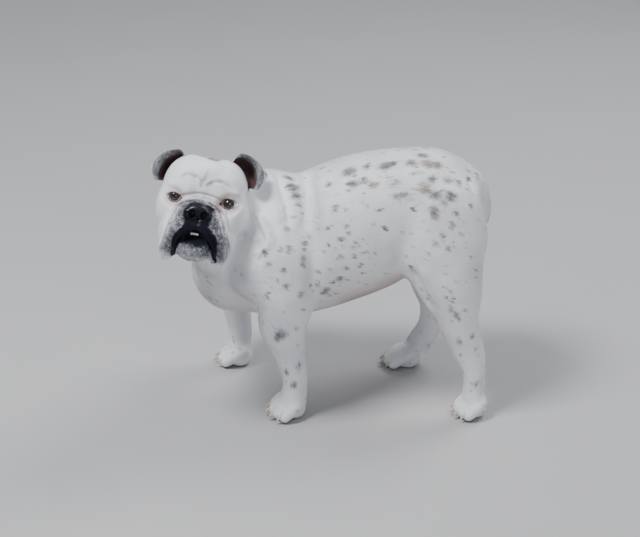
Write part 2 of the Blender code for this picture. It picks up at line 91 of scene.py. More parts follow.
# Flesh and skin. The whole body is one soft surface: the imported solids, some pads of flesh beside the nose
# and a ball in each eye's socket are melted together, so that their cuts close, and smoothed, the body far
# more than the head and the paws. Pads are a middle and three radii, in head centimetres.
FLESH = ("torso", "neck", "head", "lower_jaw", "nose", "foreleg_left", "foreleg_right", "forepaw_left",
         "forepaw_right", "thigh_left", "thigh_right", "hindleg_left", "hindleg_right", "hindpaw_left",
         "hindpaw_right", "tail")
FACE_PADS = (
    ((0.0, -4.15, -1.45), (1.95, 1.2, 1.25)),
    ((1.25, -4.5, -1.95), (1.0, 0.95, 0.9)),
    ((1.7, -3.3, -2.9), (1.8, 1.25, 1.5)),
    ((2.9, -2.3, -3.6), (1.6, 1.5, 2.1)),
    ((3.5, -1.6, -5.6), (1.6, 1.6, 2.6)),
    ((4.2, 0.95, 0.0), (1.6, 1.5, 1.5)),
)
FLESH_VOXEL, SKIN_VOXEL = 0.0017, 0.0014
FLESH_SMOOTHING, SKIN_SMOOTHING, BODY_SMOOTHING = 12, 6, 170
HEAD_MIDDLE, SKULL_MIDDLE = np.array((0, 1.0, -2.0)), np.array((0, 2.0, -1.0))
NAPE, NAPE_WAY = np.array((3.25, 9.25, 0.9)), np.array((0.649, 0.757, -0.069))
COAT_DEPTH = 0.0010
SKIN_FACES = 186000


def coordinates(mesh):
    """A mesh's points as rows."""
    rows = np.empty(len(mesh.vertices) * 3, np.float32)
    mesh.vertices.foreach_get("co", rows)
    return rows.reshape(-1, 3).astype(float)


def normals_of(mesh):
    """A mesh's smooth normals at its points."""
    rows = np.empty(len(mesh.vertices) * 3, np.float32)
    mesh.vertex_normals.foreach_get("vector", rows)
    return rows.reshape(-1, 3).astype(float)


def move_points(mesh, points):
    mesh.vertices.foreach_set("co", np.asarray(points, np.float32).ravel())
    mesh.update()


def new_piece(name, mesh):
    piece = bpy.data.objects.new(name, mesh)
    bpy.context.scene.collection.objects.link(piece)
    return piece


def grid_piece(name, grid, closed=False):
    """A sheet of quads over a grid of points; closed joins the last column to the first."""
    rows, columns = grid.shape[:2]
    index = np.arange(rows * columns).reshape(rows, columns)
    if closed:
        index = np.hstack([index, index[:, :1]])
    quads = np.stack([index[:-1, :-1], index[:-1, 1:], index[1:, 1:], index[1:, :-1]], -1).reshape(-1, 4)
    mesh = bpy.data.meshes.new(name)
    mesh.from_pydata(grid.reshape(-1, 3).tolist(), [], quads.tolist())
    return new_piece(name, mesh)


def round_grid(rows, columns):
    """Unit vectors over a ball: rows from the front pole at -y to the back one, columns once round."""
    polar = np.linspace(0, np.pi, rows)[:, None]
    turn = np.linspace(0, 2 * np.pi, columns, endpoint=False)[None]
    return np.stack([np.sin(polar) * np.cos(turn), -np.cos(polar) + 0 * turn, np.sin(polar) * np.sin(turn)], -1)


def face_pad(centre, radii, side):
    """A ball stretched by three radii, about its centre in head centimetres."""
    return grid_piece("pad", from_head((round_grid(24, 32) * radii + centre) * (side, 1, 1)), True)


def solids_joined(name, nodes):
    """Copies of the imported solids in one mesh, with their loose triangles merged shut."""
    bm = bmesh.new()
    for node in nodes:
        bm.from_mesh(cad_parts[node].data)
    bmesh.ops.remove_doubles(bm, verts=bm.verts, dist=1e-6)
    mesh = bpy.data.meshes.new(name)
    bm.to_mesh(mesh)
    bm.free()
    return new_piece(name, mesh)


def applied(piece):
    graph = bpy.context.evaluated_depsgraph_get()
    mesh = bpy.data.meshes.new_from_object(piece.evaluated_get(graph))
    piece.modifiers.clear()
    piece.data = mesh
    return piece


def melted(piece, voxel, smoothing):
    """Remeshes by voxels, which unites what overlaps, and then smooths."""
    remesh = piece.modifiers.new("Melt", "REMESH")
    remesh.mode = "VOXEL"
    remesh.voxel_size = voxel
    smooth = piece.modifiers.new("Smooth", "SMOOTH")
    smooth.factor = 0.5
    smooth.iterations = smoothing
    return applied(piece)


def sink(piece, depth):
    """Moves each point inwards along its normal by the depth."""
    move_points(piece.data, coordinates(piece.data) - normals_of(piece.data) * depth)
    return piece


def joined(name, pieces):
    bm = bmesh.new()
    for piece in pieces:
        bm.from_mesh(piece.data)
        bpy.data.objects.remove(piece)
    mesh = bpy.data.meshes.new(name)
    bm.to_mesh(mesh)
    bm.free()
    return new_piece(name, mesh)


def outer_shell(piece):
    """Keeps the shell with the most points: each point takes the lowest number that its edges lead to."""
    mesh = piece.data
    ends = np.empty(len(mesh.edges) * 2, np.int32)
    mesh.edges.foreach_get("vertices", ends)
    one, other = ends.reshape(-1, 2).T
    shell = np.arange(len(mesh.vertices))
    moving = True
    while moving:
        lowest = np.minimum(shell[one], shell[other])
        moving = bool((shell[one] != shell[other]).any())
        np.minimum.at(shell, one, lowest)
        np.minimum.at(shell, other, lowest)
        shell = shell[shell]
    kept = np.bincount(shell).argmax()
    bm = bmesh.new()
    bm.from_mesh(mesh)
    bmesh.ops.delete(bm, geom=[vert for vert in bm.verts if shell[vert.index] != kept], context="VERTS")
    bm.to_mesh(mesh)
    bm.free()
    return piece


def body_share(points):
    """1 on the trunk, neck and legs, and down to 0 on the head and the paws, which keep their fine forms."""
    local = to_head(points)
    behind = smooth_step(-2.5, 1.5, (local - NAPE) @ NAPE_WAY)
    beyond = smooth_step(12.5, 14.5, np.linalg.norm(local - HEAD_MIDDLE, axis=1))
    return np.maximum(behind, beyond) * smooth_step(0.026, 0.046, points[:, 2])


def soft_body(piece):
    """Smooths the piece many times over, by the body's share."""
    share = body_share(coordinates(piece.data))
    group = piece.vertex_groups.new(name="body")
    for step in range(1, 11):
        group.add(np.flatnonzero(np.round(share * 10) == step).tolist(), step / 10, "REPLACE")
    smooth = piece.modifiers.new("Soft", "SMOOTH")
    smooth.factor = 0.5
    smooth.iterations = BODY_SMOOTHING
    smooth.vertex_group = "body"
    applied(piece)
    piece.vertex_groups.clear()
    return piece


# Ears. A rose ear is one thin leaf of skin: it rises from the side of the skull, its back edge rolls over and
# outwards, and the hollow inside shows from the front. Stations run from the front of the base to the tip,
# each with its base, hollow, rim and turned-back edge, for the left ear. The right ear sits a little lower.
EAR = (
    ((3.3, 4.6, 6.0), (3.6, 5.4, 6.7), (4.0, 4.4, 7.3), (4.0, 5.6, 7.2)),
    ((3.6, 5.0, 5.8), (4.4, 7.2, 6.6), (4.9, 4.6, 8.0), (5.0, 6.4, 7.5)),
    ((4.2, 5.4, 5.2), (5.6, 7.8, 5.9), (6.4, 4.8, 7.6), (6.8, 6.6, 6.9)),
    ((4.8, 5.6, 4.6), (6.5, 8.0, 5.1), (7.6, 4.7, 6.6), (8.3, 6.8, 6.1)),
    ((5.2, 5.6, 3.9), (6.9, 7.8, 4.3), (8.1, 4.4, 5.2), (9.2, 6.6, 5.2)),
    ((5.6, 5.4, 3.2), (7.0, 6.8, 3.5), (8.3, 4.4, 3.9), (8.9, 5.8, 4.2)),
    ((5.9, 5.2, 2.8), (6.9, 5.6, 2.7), (7.9, 4.6, 2.6), (8.2, 5.0, 2.8)),
)
EAR_DROP = {1: 0.0, -1: 0.95}
EAR_ROWS, EAR_COLUMNS = 64, 28
EAR_THICK = 0.0032


def ear_leaf(side):
    """The leaf of one ear as a grid in head centimetres: columns run from base to turned-back edge."""
    rounds = spline(EAR, EAR_ROWS)
    leaf = np.array([spline(row, EAR_COLUMNS) for row in rounds])
    return leaf * (side, 1, 1) - (0, 0, EAR_DROP[side])


def ear(side):
    piece = grid_piece("leaf", from_head(ear_leaf(side)))
    wall = piece.modifiers.new("Wall", "SOLIDIFY")
    wall.thickness = EAR_THICK
    wall.offset = 0
    return applied(piece)


pads = [face_pad(centre, radii, side) for centre, radii in FACE_PADS for side in (1, -1)]
flesh = melted(joined("flesh", [solids_joined("solids", FLESH)] + pads), FLESH_VOXEL, FLESH_SMOOTHING)
flesh = soft_body(outer_shell(flesh))
skin = outer_shell(melted(joined("skin", [flesh, ear(1), ear(-1)]), SKIN_VOXEL, SKIN_SMOOTHING))


# The folds of the body. Loose skin hangs in soft rolls over the neck, before the shoulder, in front of the
# thigh and beside the tail, and the sheath stands out under the belly. Each fold is a furrow along a smooth
# line on the skin, in centimetres from the middle of the floor, with its half width, its depth and a roll on
# both its sides.
BODY_FOLDS = (
    (((-2.2, -8.4, 39.4), (2.0, -7.2, 38.3), (4.3, -6.5, 36.7), (7.4, -6.1, 35.1), (9.1, -6.0, 33.6)),
     0.75, 0.42),
    (((-4.5, -2.9, 38.1), (1.3, -2.9, 38.0), (4.6, -3.0, 36.8), (6.9, -3.1, 34.9), (8.8, -3.2, 32.3)),
     0.8, 0.40),
    (((5.7, -11.3, 35.5), (7.2, -11.6, 33.9), (9.5, -10.7, 32.1), (9.2, -11.9, 30.2)), 0.8, 0.75),
    (((7.8, -2.4, 34.1), (9.5, -2.2, 30.9), (10.2, -2.3, 27.6), (11.0, -2.4, 24.2), (11.8, -3.1, 21.1)),
     1.2, 0.22),
    (((8.8, 13.1, 27.2), (9.0, 14.3, 25.0), (9.2, 15.8, 21.9), (9.3, 17.3, 19.0)), 1.0, 0.40),
    (((-8.8, 8.1, 27.2), (-9.0, 8.3, 25.0), (-9.2, 9.2, 21.9), (-9.3, 10.5, 19.0)), 1.0, 0.30),
    (((2.6, 22.4, 40.0), (3.4, 23.0, 39.2), (4.7, 24.0, 37.5)), 0.6, 0.30),
    (((-2.6, 22.4, 40.0), (-3.4, 23.0, 39.2), (-4.7, 24.0, 37.5)), 0.6, 0.30),
    (((-3.0, -9.0, 37.4), (-5.6, -8.0, 35.6), (-7.8, -7.4, 32.8)), 0.75, 0.35),
)
FOLD_STEPS = 60
SHEATH, SHEATH_REACH, SHEATH_RISE = (0.0, 11.5, 24.0), (1.5, 3.4, 2.2), 0.9


def body_relief(points):
    """How far the folds and the sheath lift the skin of the body, in centimetres."""
    place = points / CM
    rise = np.zeros(len(place))
    for marks, width, depth in BODY_FOLDS:
        path = spline(marks, FOLD_STEPS)
        squares = (place**2).sum(1)[:, None] - 2 * place @ path.T + (path**2).sum(1)
        gap = np.sqrt(np.maximum(squares.min(1), 0))
        furrow = bell(gap, width) - 0.40 * bell(gap - 2.0 * width, width)
        rise -= depth * furrow * fading(squares.argmin(1) / (FOLD_STEPS - 1), 0.3)
    return rise + SHEATH_RISE * bell(np.linalg.norm((place - SHEATH) / SHEATH_REACH, axis=1), 0.75)


# The folds of the face. Loose skin lies in a thick roll over the nose, in grooves on the brow, in creases
# beside the flews and in fine wrinkles round the mouth. Each is a smooth line drawn on the face, seen from
# the front, x and z in head centimetres, along which the skin rises or sinks by bell curves of the distance
# to the line. Grooves are a line, a half width and a depth.
NOSE_ROLL = ((-4.1, -3.2), (-3.8, -1.8), (-2.95, -0.65), (-1.5, 0.05), (0, 0.27), (2.0, 0), (2.95, -0.55),
             (3.75, -1.55), (4.3, -2.7), (4.8, -4.2))
MOUTH = ((-2.85, -9.0), (-2.5, -7.3), (-2.05, -6.2), (-1.6, -5.45), (-0.95, -4.9), (-0.1, -4.65), (0.75, -4.7),
         (1.55, -5.2), (2.3, -6.05), (3.0, -7.05), (3.4, -8.45))
GROOVES = (
    (((-3.9, 2.4), (-3.1, 3.3), (-2.3, 3.6), (-0.8, 3.1), (-0.15, 2.4), (0.15, 1.4)), 0.24, 0.16),
    (((0.2, 1.9), (0.95, 2.5), (1.95, 3.1), (3.2, 3.0), (4.3, 2.1)), 0.24, 0.16),
    (((0.55, 5.0), (0.25, 3.5), (-0.18, 2.6), (-0.1, 1.6)), 0.26, 0.14),
    (((3.95, -1.2), (4.6, -2.6), (5.0, -4.2), (5.25, -5.8), (5.4, -7.8)), 0.17, 0.20),
    (((-4.3, -1.8), (-4.6, -3.2), (-4.65, -4.6), (-4.6, -6.0), (-4.7, -7.2)), 0.17, 0.18),
    (((3.3, -1.6), (3.75, -3.1), (4.1, -4.6), (4.4, -6.2), (4.6, -7.8)), 0.12, 0.07),
    (((-3.2, -1.7), (-3.55, -3.1), (-3.8, -4.6), (-3.9, -6.2)), 0.12, 0.07),
    (((-5.6, -0.9), (-5.0, -1.6), (-4.3, -1.9)), 0.18, 0.07),
    (((5.7, -0.7), (5.2, -1.5), (4.5, -1.9)), 0.18, 0.07),
)
LIP_WRINKLES = 0.36


def bell(distance, width):
    return np.exp(-(distance / width) ** 2)


def line_distance(flat, marks, count=180):
    """Distance in a plane to the smooth line through marks, above zero on its left, and how far along the line
    its nearest place lies, from 0 to 1."""
    path = spline(marks, count)
    step = np.gradient(path, axis=0)
    step /= np.linalg.norm(step, axis=1)[:, None]
    squares = (flat**2).sum(1)[:, None] - 2 * flat @ path.T + (path**2).sum(1)
    nearest = squares.argmin(1)
    gap = flat - path[nearest]
    side = np.where(step[nearest, 0] * gap[:, 1] - step[nearest, 1] * gap[:, 0] > 0, 1, -1)
    return side * np.linalg.norm(gap, axis=1), nearest / (count - 1)


def fading(along, ends=0.12):
    """1 along a line and down to 0 at both its ends."""
    return smooth_step(0, ends, along) * smooth_step(1, 1 - ends, along)


def ripple(local, scale, seed):
    """Smooth wandering between -1 and 1: a mean of sines along three slanted directions."""
    turns = np.random.default_rng(seed).normal(size=(3, 3)) * scale
    return np.sin(local @ turns.T + np.arange(3)).mean(axis=1)


def face_relief(local):
    """How far the folds lift the skin of the face, in centimetres."""
    flat = local[:, (0, 2)]
    front = smooth_step(3.4, 1.6, local[:, 1])
    roll, along = line_distance(flat, NOSE_ROLL)
    rise = 0.22 * bell(roll + 0.05, 0.32) - 0.22 * bell(roll - 0.60, 0.26) - 0.07 * bell(roll + 0.34, 0.09)
    rise += 0.07 * bell(roll + 0.62, 0.16) - 0.06 * bell(roll + 0.95, 0.14)
    rise *= fading(along, 0.18)
    for marks, width, depth in GROOVES:
        gap, along = line_distance(flat, marks)
        soft = bell(gap, width) - 0.35 * bell(np.abs(gap) - 2.1 * width, width)
        rise -= depth * soft * fading(along, 0.25)
    mouth, along = line_distance(flat, MOUTH)
    wander = mouth + 0.10 * ripple(local, 1.4, 3)
    window = smooth_step(0.9, 1.3, mouth) * smooth_step(3.0, 2.2, mouth) * fading(along, 0.1)
    window *= 0.6 + 0.4 * ripple(local, 1.1, 4)
    rise += 0.08 * np.sin(wander * 2 * np.pi / LIP_WRINKLES) * window
    from_eye = np.linalg.norm(np.abs(local) * (1, 0, 1) + local * (0, 1, 0) - (EYE_OUT, EYE_DEPTH, 0), axis=1)
    return rise * front * smooth_step(1.35, 1.9, from_eye)


def mouth_relief(local):
    """The slit between the flews and the chin, with the rounded rim of the lip along it."""
    flat = local[:, (0, 2)]
    gap, along = line_distance(flat, MOUTH)
    front = smooth_step(1.5, 0.3, local[:, 1])
    slit = -0.42 * bell(gap + 0.10, 0.15)
    rim = 0.10 * bell(gap - 0.30, 0.22)
    return (slit + rim) * front * fading(along, 0.05)


# The eyelids. Each opening is an almond drawn on the face, clockwise as seen. Outside it the skin hugs the
# eyeball at the thickness of a lid, with a crease over the upper one, and inside it the skin lies behind the
# front of the ball. Radii and gaps are in head centimetres.
EYE_RADIUS = 1.18
SOCKET, LID_EDGE, LID_SWELL, LID_BLEND = 0.98, 1.36, 0.24, 1.3
ALMONDS = {
    1: ((2.98, -0.10), (3.35, 0.42), (3.95, 0.72), (4.75, 0.66), (5.45, 0.36), (5.10, -0.25), (4.36, -0.68),
        (3.55, -0.52), (2.98, -0.10)),
    -1: ((-5.30, -0.10), (-4.95, 0.25), (-4.34, 0.42), (-3.65, 0.25), (-3.10, -0.22), (-3.45, -0.62),
         (-4.10, -0.86), (-4.85, -0.62), (-5.30, -0.10)),
}


def with_lids(local):
    """Points near each eye moved along the ray from its centre to the lid's radius, by their distance to the
    almond as it lies on the ball."""
    for side, almond in ALMONDS.items():
        centre = np.array((side * EYE_OUT, EYE_DEPTH, 0))
        ray = local - centre
        reach = np.linalg.norm(ray, axis=1)
        near = np.flatnonzero((reach < 2.9) & (ray[:, 1] < 0.6))
        aim = ray[near] / reach[near, None]
        outside = line_distance((centre + aim * LID_EDGE)[:, (0, 2)], almond)[0]
        away = line_distance(local[near][:, (0, 2)], almond)[0]
        edge = smooth_step(-0.10, 0.06, outside)
        crease = 0.07 * bell(outside - 0.42, 0.12) * smooth_step(-0.2, 0.3, aim[:, 2])
        swell = LID_SWELL * smooth_step(0.08, 0.75, away)
        radius = SOCKET + (LID_EDGE - SOCKET + swell) * edge + 0.03 * bell(outside - 0.12, 0.1) - crease
        weight = smooth_step(LID_BLEND, 0.55, away) * smooth_step(0.6, 0.2, ray[near, 1])
        weight *= smooth_step(2.7, 2.0, reach[near])
        local[near] = centre + aim * (radius * weight + reach[near] * (1 - weight))[:, None]
    return local


# The nose. Its leather is black and pebbled, with two wide nostrils that run out into a slit under each wing,
# and a groove down the middle. Places and sizes are in head centimetres.
NOSE_MIDDLE = (0.22, -1.75)
NOSTRIL_OUT, NOSTRIL_DOWN = 0.92, -0.32
NOSTRIL_SIZE, NOSTRIL_DEPTH = (0.48, 0.66), 0.75
SLIT_SIZE, SLIT_DEPTH = (0.62, 0.13), 0.22


def nose_pits(local):
    """How far the nostrils, their slits and the middle groove sink the nose, in centimetres."""
    x = np.abs(local[:, 0] - NOSE_MIDDLE[0])
    z = local[:, 2] - NOSE_MIDDLE[1]
    out, up = x - NOSTRIL_OUT, z - NOSTRIL_DOWN
    hole = np.hypot((out - 0.12 * z) / NOSTRIL_SIZE[0], up / NOSTRIL_SIZE[1])
    slit = np.hypot((out - SLIT_SIZE[0]) / SLIT_SIZE[0], (up - 0.30 + 0.25 * out) / SLIT_SIZE[1])
    depth = NOSTRIL_DEPTH * smooth_step(1.15, 0.55, hole)
    depth += SLIT_DEPTH * smooth_step(1.3, 0.3, slit) * smooth_step(0.9, 1.2, hole)
    depth += 0.12 * bell(x, 0.09) * smooth_step(0.35, -0.1, z) * smooth_step(-3.1, -2.7, z)
    return depth * smooth_step(-3.0, -4.0, local[:, 1])


def refine(piece, wanted):
    """Splits in four the faces of the places that wanted picks, so that fine folds have points to lie on."""
    picked = wanted(to_head(coordinates(piece.data)))
    bm = bmesh.new()
    bm.from_mesh(piece.data)
    edges = [edge for edge in bm.edges if picked[edge.verts[0].index] and picked[edge.verts[1].index]]
    bmesh.ops.subdivide_edges(bm, edges=edges, cuts=1, use_grid_fill=True)
    bm.to_mesh(piece.data)
    bm.free()


def on_face(local):
    return (local[:, 1] < 2.4) & (np.abs(local[:, 0]) < 6.6) & (np.abs(local[:, 2] + 2.5) < 8.0)


def on_eyes_and_nose(local):
    eyes = np.hypot(np.abs(local[:, 0]) - EYE_OUT, local[:, 2]) < 1.75
    nose = np.hypot(local[:, 0] - NOSE_MIDDLE[0], local[:, 2] - NOSE_MIDDLE[1]) < 2.3
    return (eyes & (local[:, 1] < 2.4)) | (nose & (local[:, 1] < -2.5))


def folded(piece):
    """The skin with its folds, mouth, nose and lids, moved along its normals in the head's centimetres."""
    points = coordinates(piece.data)
    outwards = normals_of(piece.data)
    points += outwards * (body_relief(points) * CM)[:, None]
    local = to_head(points)
    near = np.flatnonzero(np.linalg.norm(local, axis=1) < 12)
    normals = outwards[near] @ HEAD_TURN
    moved = local[near]
    moved += normals * (face_relief(moved) + mouth_relief(moved))[:, None]
    moved[:, 1] += nose_pits(moved)
    points[near] = from_head(with_lids(moved))
    move_points(piece.data, points)


refine(skin, on_face)
refine(skin, on_eyes_and_nose)
sink(skin, COAT_DEPTH)
folded(skin)
thin = skin.modifiers.new("Thin", "DECIMATE")
thin.ratio = SKIN_FACES / sum(len(face.vertices) - 2 for face in skin.data.polygons)
applied(skin)
skin.data.shade_smooth()
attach(skin, "root")
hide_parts(*FLESH, "ear_left", "ear_right")


# The markings. The coat is white with soft grey and tan patches and small ticks; black skin shows on the nose
# and the lips, grey skin through thin hair on the muzzle and chin, pink skin at the lids, throat and belly,
# and dark red skin in the ears, painted darker than that skin as shade in their hollows. Patches are x, y and z
# of the middle and the radius, in centimetres, on the body from the middle of the floor and on skull and ears
# in the head's own axes.
GREY_PATCHES = (
    (1.6, 3.2, 40.5, 1.1), (4.4, 3.8, 39.5, 0.7), (4.2, 5.4, 40.0, 0.7), (1.3, 6.0, 41.3, 0.6),
    (1.9, 9.0, 41.6, 0.9), (1.6, 10.3, 41.9, 0.7), (5.5, 10.0, 39.7, 0.5), (4.6, 9.4, 40.3, 0.5),
    (1.9, 13.3, 42.1, 0.8), (-0.1, 15.4, 42.7, 0.8), (4.9, 16.2, 40.6, 0.7), (5.0, 20.6, 39.8, 0.5),
    (7.1, 16.7, 38.7, 0.8), (7.3, 19.1, 38.5, 0.9), (6.7, 11.1, 38.5, 0.6), (6.7, 12.1, 38.6, 0.5),
    (8.2, 16.1, 36.7, 0.6), (3.2, 0.2, 38.8, 0.5), (8.0, 8.0, 36.2, 0.5), (-0.3, -5.9, 38.6, 0.8),
    (1.9, -5.4, 37.8, 0.9), (3.5, -5.0, 36.9, 0.7), (5.2, -4.7, 35.9, 0.5), (7.3, -5.7, 35.1, 0.4),
    (9.1, -6.8, 33.8, 0.45), (11.3, -7.6, 31.1, 0.35), (11.0, -6.3, 31.3, 0.35), (9.4, -3.8, 31.4, 0.45),
    (11.1, -10.1, 30.7, 0.4), (11.9, -9.5, 29.0, 0.35), (12.4, -7.2, 28.2, 0.4), (12.7, -8.4, 26.5, 0.4),
    (12.8, -6.9, 25.6, 0.35), (12.1, -10.0, 23.4, 0.4), (9.6, 1.8, 32.1, 0.45), (10.0, 1.7, 29.2, 0.45),
    (9.8, 5.0, 27.9, 0.3), (9.8, 1.8, 25.4, 0.4), (9.5, -0.4, 23.2, 0.6), (9.3, 3.0, 33.1, 0.3),
    (9.3, 20.9, 32.7, 0.4), (9.5, 18.0, 32.8, 0.4), (9.6, 16.6, 31.4, 0.4), (10.1, 18.8, 30.8, 0.4),
    (11.1, 20.7, 19.7, 0.5), (11.0, 19.6, 20.8, 0.35), (9.0, 19.3, 34.4, 0.45), (8.4, 19.9, 36.3, 0.45),
    (7.1, 22.4, 37.0, 0.35), (0.8, 22.8, 40.5, 0.4), (2.7, 22.8, 39.8, 0.45), (10.6, 21.9, 14.8, 0.5),
    (10.3, 24.0, 15.5, 0.4), (10.3, 25.1, 6.5, 0.4), (12.4, -7.3, 17.0, 0.9), (12.1, -7.9, 16.2, 0.6),
    (10.6, -6.0, 9.3, 0.5), (10.6, -4.0, 10.4, 0.5), (10.6, -4.9, 6.8, 0.5), (-5.0, 4.0, 39.5, 0.9),
    (-4.4, 12.5, 40.8, 1.0), (-6.8, 15.8, 38.6, 0.8), (-7.6, 6.0, 37.0, 0.7), (-8.6, 18.5, 35.4, 0.6),
    (-9.0, -2.0, 31.0, 0.5), (-9.6, 9.5, 29.0, 0.4), (-11.8, -10.5, 27.0, 0.5), (-10.3, 19.0, 27.5, 0.5),
    (-9.8, 3.5, 26.0, 0.4),
)
TAN_PATCHES = (
    (2.2, 15.8, 42.1, 1.0), (2.3, 17.4, 42.0, 0.9), (4.0, 14.0, 41.2, 0.5), (4.9, 18.8, 40.3, 0.7),
    (6.1, 14.9, 39.5, 1.0), (7.9, 17.7, 37.6, 0.6), (7.2, 12.8, 37.9, 0.4), (8.6, 16.6, 35.9, 0.6),
    (5.2, 7.0, 39.6, 0.6), (7.0, 0.8, 36.5, 0.6), (10.9, -4.1, 29.5, 0.5), (11.2, -4.1, 28.6, 0.45),
    (12.6, -4.4, 24.0, 0.5), (-3.8, 16.4, 41.6, 0.9), (-7.0, 10.0, 37.8, 0.6),
)
PATCH_SPREAD = 1.3
SKULL_PATCHES = ((0.5, 4.1, 6.5, 1.0), (-4.6, 5.0, 6.2, 1.1))
EAR_PATCHES = ((9.1, 6.6, 5.4, 0.8), (8.6, 6.4, 4.4, 0.7), (-9.0, 6.4, 4.6, 0.8))
LIP_EDGE = (
    (-3.25, -8.9), (-3.1, -6.5), (-2.55, -5.1), (-1.75, -3.9), (-1.65, -3.1), (-1.95, -2.3), (-1.75, -1.1),
    (-1.1, -0.45), (0.15, -0.25), (1.4, -0.45), (2.1, -1.1), (2.3, -2.2), (2.0, -3.1), (2.3, -3.8),
    (3.3, -4.9), (3.75, -6.2), (3.9, -8.9),
)


def patches(points, places):
    """The nearest patch's strength: 1 well inside its radius and 0 outside it."""
    strength = np.zeros(len(points))
    for x, y, z, radius in places:
        gap = np.linalg.norm(points - np.array((x, y, z)), axis=1)
        strength = np.maximum(strength, smooth_step(1.2, 0.5, gap / (radius * PATCH_SPREAD)))
    return strength


def ear_marks(local, normals):
    """How near each place is to an ear's leaf, to its hollow and to the band of hair beside it, from 0 to 1."""
    on_ear, hollow, rim = np.zeros((3, len(local)))
    for side in (1, -1):
        leaf = ear_leaf(side)
        across = np.cross(np.gradient(leaf, axis=0), np.gradient(leaf, axis=1)).reshape(-1, 3)
        across /= np.linalg.norm(across, axis=1)[:, None]
        across *= -np.sign(across[:, 1].sum())
        leaf = leaf.reshape(-1, 3)
        tree = KDTree(len(leaf))
        for index, place in enumerate(leaf):
            tree.insert(place, index)
        tree.balance()
        near = np.flatnonzero((local[:, 0] * side > 3.0) & (local[:, 1] > 3.4) & (local[:, 1] < 9)
                              & (local[:, 2] > 0.5))
        for place in near:
            _, index, gap = tree.find(local[place])
            column = (index % EAR_COLUMNS) / (EAR_COLUMNS - 1)
            inner = normals[place] @ across[index] > 0
            on_ear[place] = 1 - min(gap / 0.45, 1)
            if inner and gap < 0.5:
                hollow[place] = smooth_step(0.06, 0.16, column) * smooth_step(0.62, 0.44, column)
                rim[place] = smooth_step(0.42, 0.54, column) * smooth_step(0.90, 0.80, column)
    return on_ear, hollow, rim


def markings(points, normals):
    """Black, grey, tan, pink, dark red, wet, ear and ticks, as columns from 0 to 1, at places on the skin."""
    local = to_head(points)
    turned = normals @ HEAD_TURN
    flat = local[:, (0, 2)]
    front = smooth_step(1.2, -0.6, local[:, 1])
    wander = 0.16 * ripple(local, 1.6, 7) + 0.08 * ripple(local, 4.0, 8)

    edge = line_distance(flat, LIP_EDGE)[0]
    gap = line_distance(flat, MOUTH)[0]
    inside = (edge < 0) & (local[:, 2] > -9.0)
    between = np.maximum(0.45 * smooth_step(2.2, 0.3, edge + wander), smooth_step(0.60, -0.35, edge + wander))
    between *= smooth_step(-9.6, -8.8, local[:, 2])
    chin = smooth_step(-0.05, -0.35, gap) * inside
    low_chin = smooth_step(-5.9, -8.2, local[:, 2] + 1.5 * wander)
    black = between * (1 - chin * low_chin * 0.85) * front
    roll = line_distance(flat, NOSE_ROLL)[0]
    muzzle = smooth_step(0.05, -0.40, roll + 0.6 * wander) * smooth_step(-9.4, -8.0, local[:, 2])
    grey = (0.50 + 0.40 * smooth_step(2.8, 0.2, edge)) * muzzle * smooth_step(4.2, 2.2, edge) * front
    # Painted highlight: grey is taken off the two crests of the nose roll, so they look lit.
    grey *= 1 - 0.5 * bell(roll + 0.62, 0.14) - 0.5 * bell(roll + 0.05, 0.14)
    grey = np.maximum(grey, 0.55 * chin * low_chin * front * smooth_step(-9.6, -8.6, local[:, 2]))
    # The brow grooves and the furrow between them are greyed: partly grey hair, partly painted shade in the
    # creases.
    for groove in GROOVES[:3]:
        furrow, along = line_distance(flat, groove[0])
        grey = np.maximum(grey, 0.34 * bell(furrow, 0.42) * fading(along, 0.25) * front)
    eye = np.full(len(points), 9.0)
    for side, almond in ALMONDS.items():
        eye = np.where(local[:, 0] * side > 0, line_distance(flat, almond)[0], eye)
    rim_dark = smooth_step(0.30, 0.10, eye) * front
    pink = 0.75 * smooth_step(1.0, 0.25, eye + 1.5 * wander) * front
    on_ear, hollow, rim = ear_marks(local, turned)
    grey = np.maximum.reduce([grey, 0.8 * rim, 0.7 * patches(local, EAR_PATCHES)])

    place = points / CM
    grey = np.maximum(grey, 0.85 * patches(place + 0.25 * ripple(place, 1.5, 9)[:, None], GREY_PATCHES))
    tan = 0.8 * patches(place + 0.25 * ripple(place, 1.5, 10)[:, None], TAN_PATCHES)
    tan = np.maximum.reduce([tan, patches(local, SKULL_PATCHES), 0.35 * rim])
    beneath = smooth_step(-0.35, -0.85, normals[:, 2])
    belly = beneath * smooth_step(0.14, 0.17, points[:, 2]) * smooth_step(0.0, 0.05, points[:, 1])
    throat = smooth_step(-0.1, -0.6, normals[:, 2]) * smooth_step(9, 6, np.abs(local[:, 2] + 10))
    pink = np.maximum(pink, 0.5 * belly + 0.22 * throat * (local[:, 1] > 0))
    pads = smooth_step(-0.75, -0.92, normals[:, 2]) * smooth_step(0.012, 0.006, points[:, 2])
    black = np.maximum.reduce([black, 0.85 * rim_dark, 0.9 * pads])
    wet = np.maximum.reduce([0.5 * between * smooth_step(0.7, 0.1, np.abs(gap)) * front,
                             smooth_step(0.16, 0.02, eye) * front,
                             smooth_step(2.6, 1.6, np.hypot(flat[:, 0] - 0.2, flat[:, 1] + 1.7)) * front])
    head = smooth_step(13, 11, np.linalg.norm(local - SKULL_MIDDLE, axis=1))
    ticks = (0.55 + 0.45 * smooth_step(0.16, 0.24, points[:, 2])) * (1 - 0.9 * head) * (1 - beneath)
    return np.stack([black, grey, tan, pink, hollow, wet, on_ear, ticks], 1)


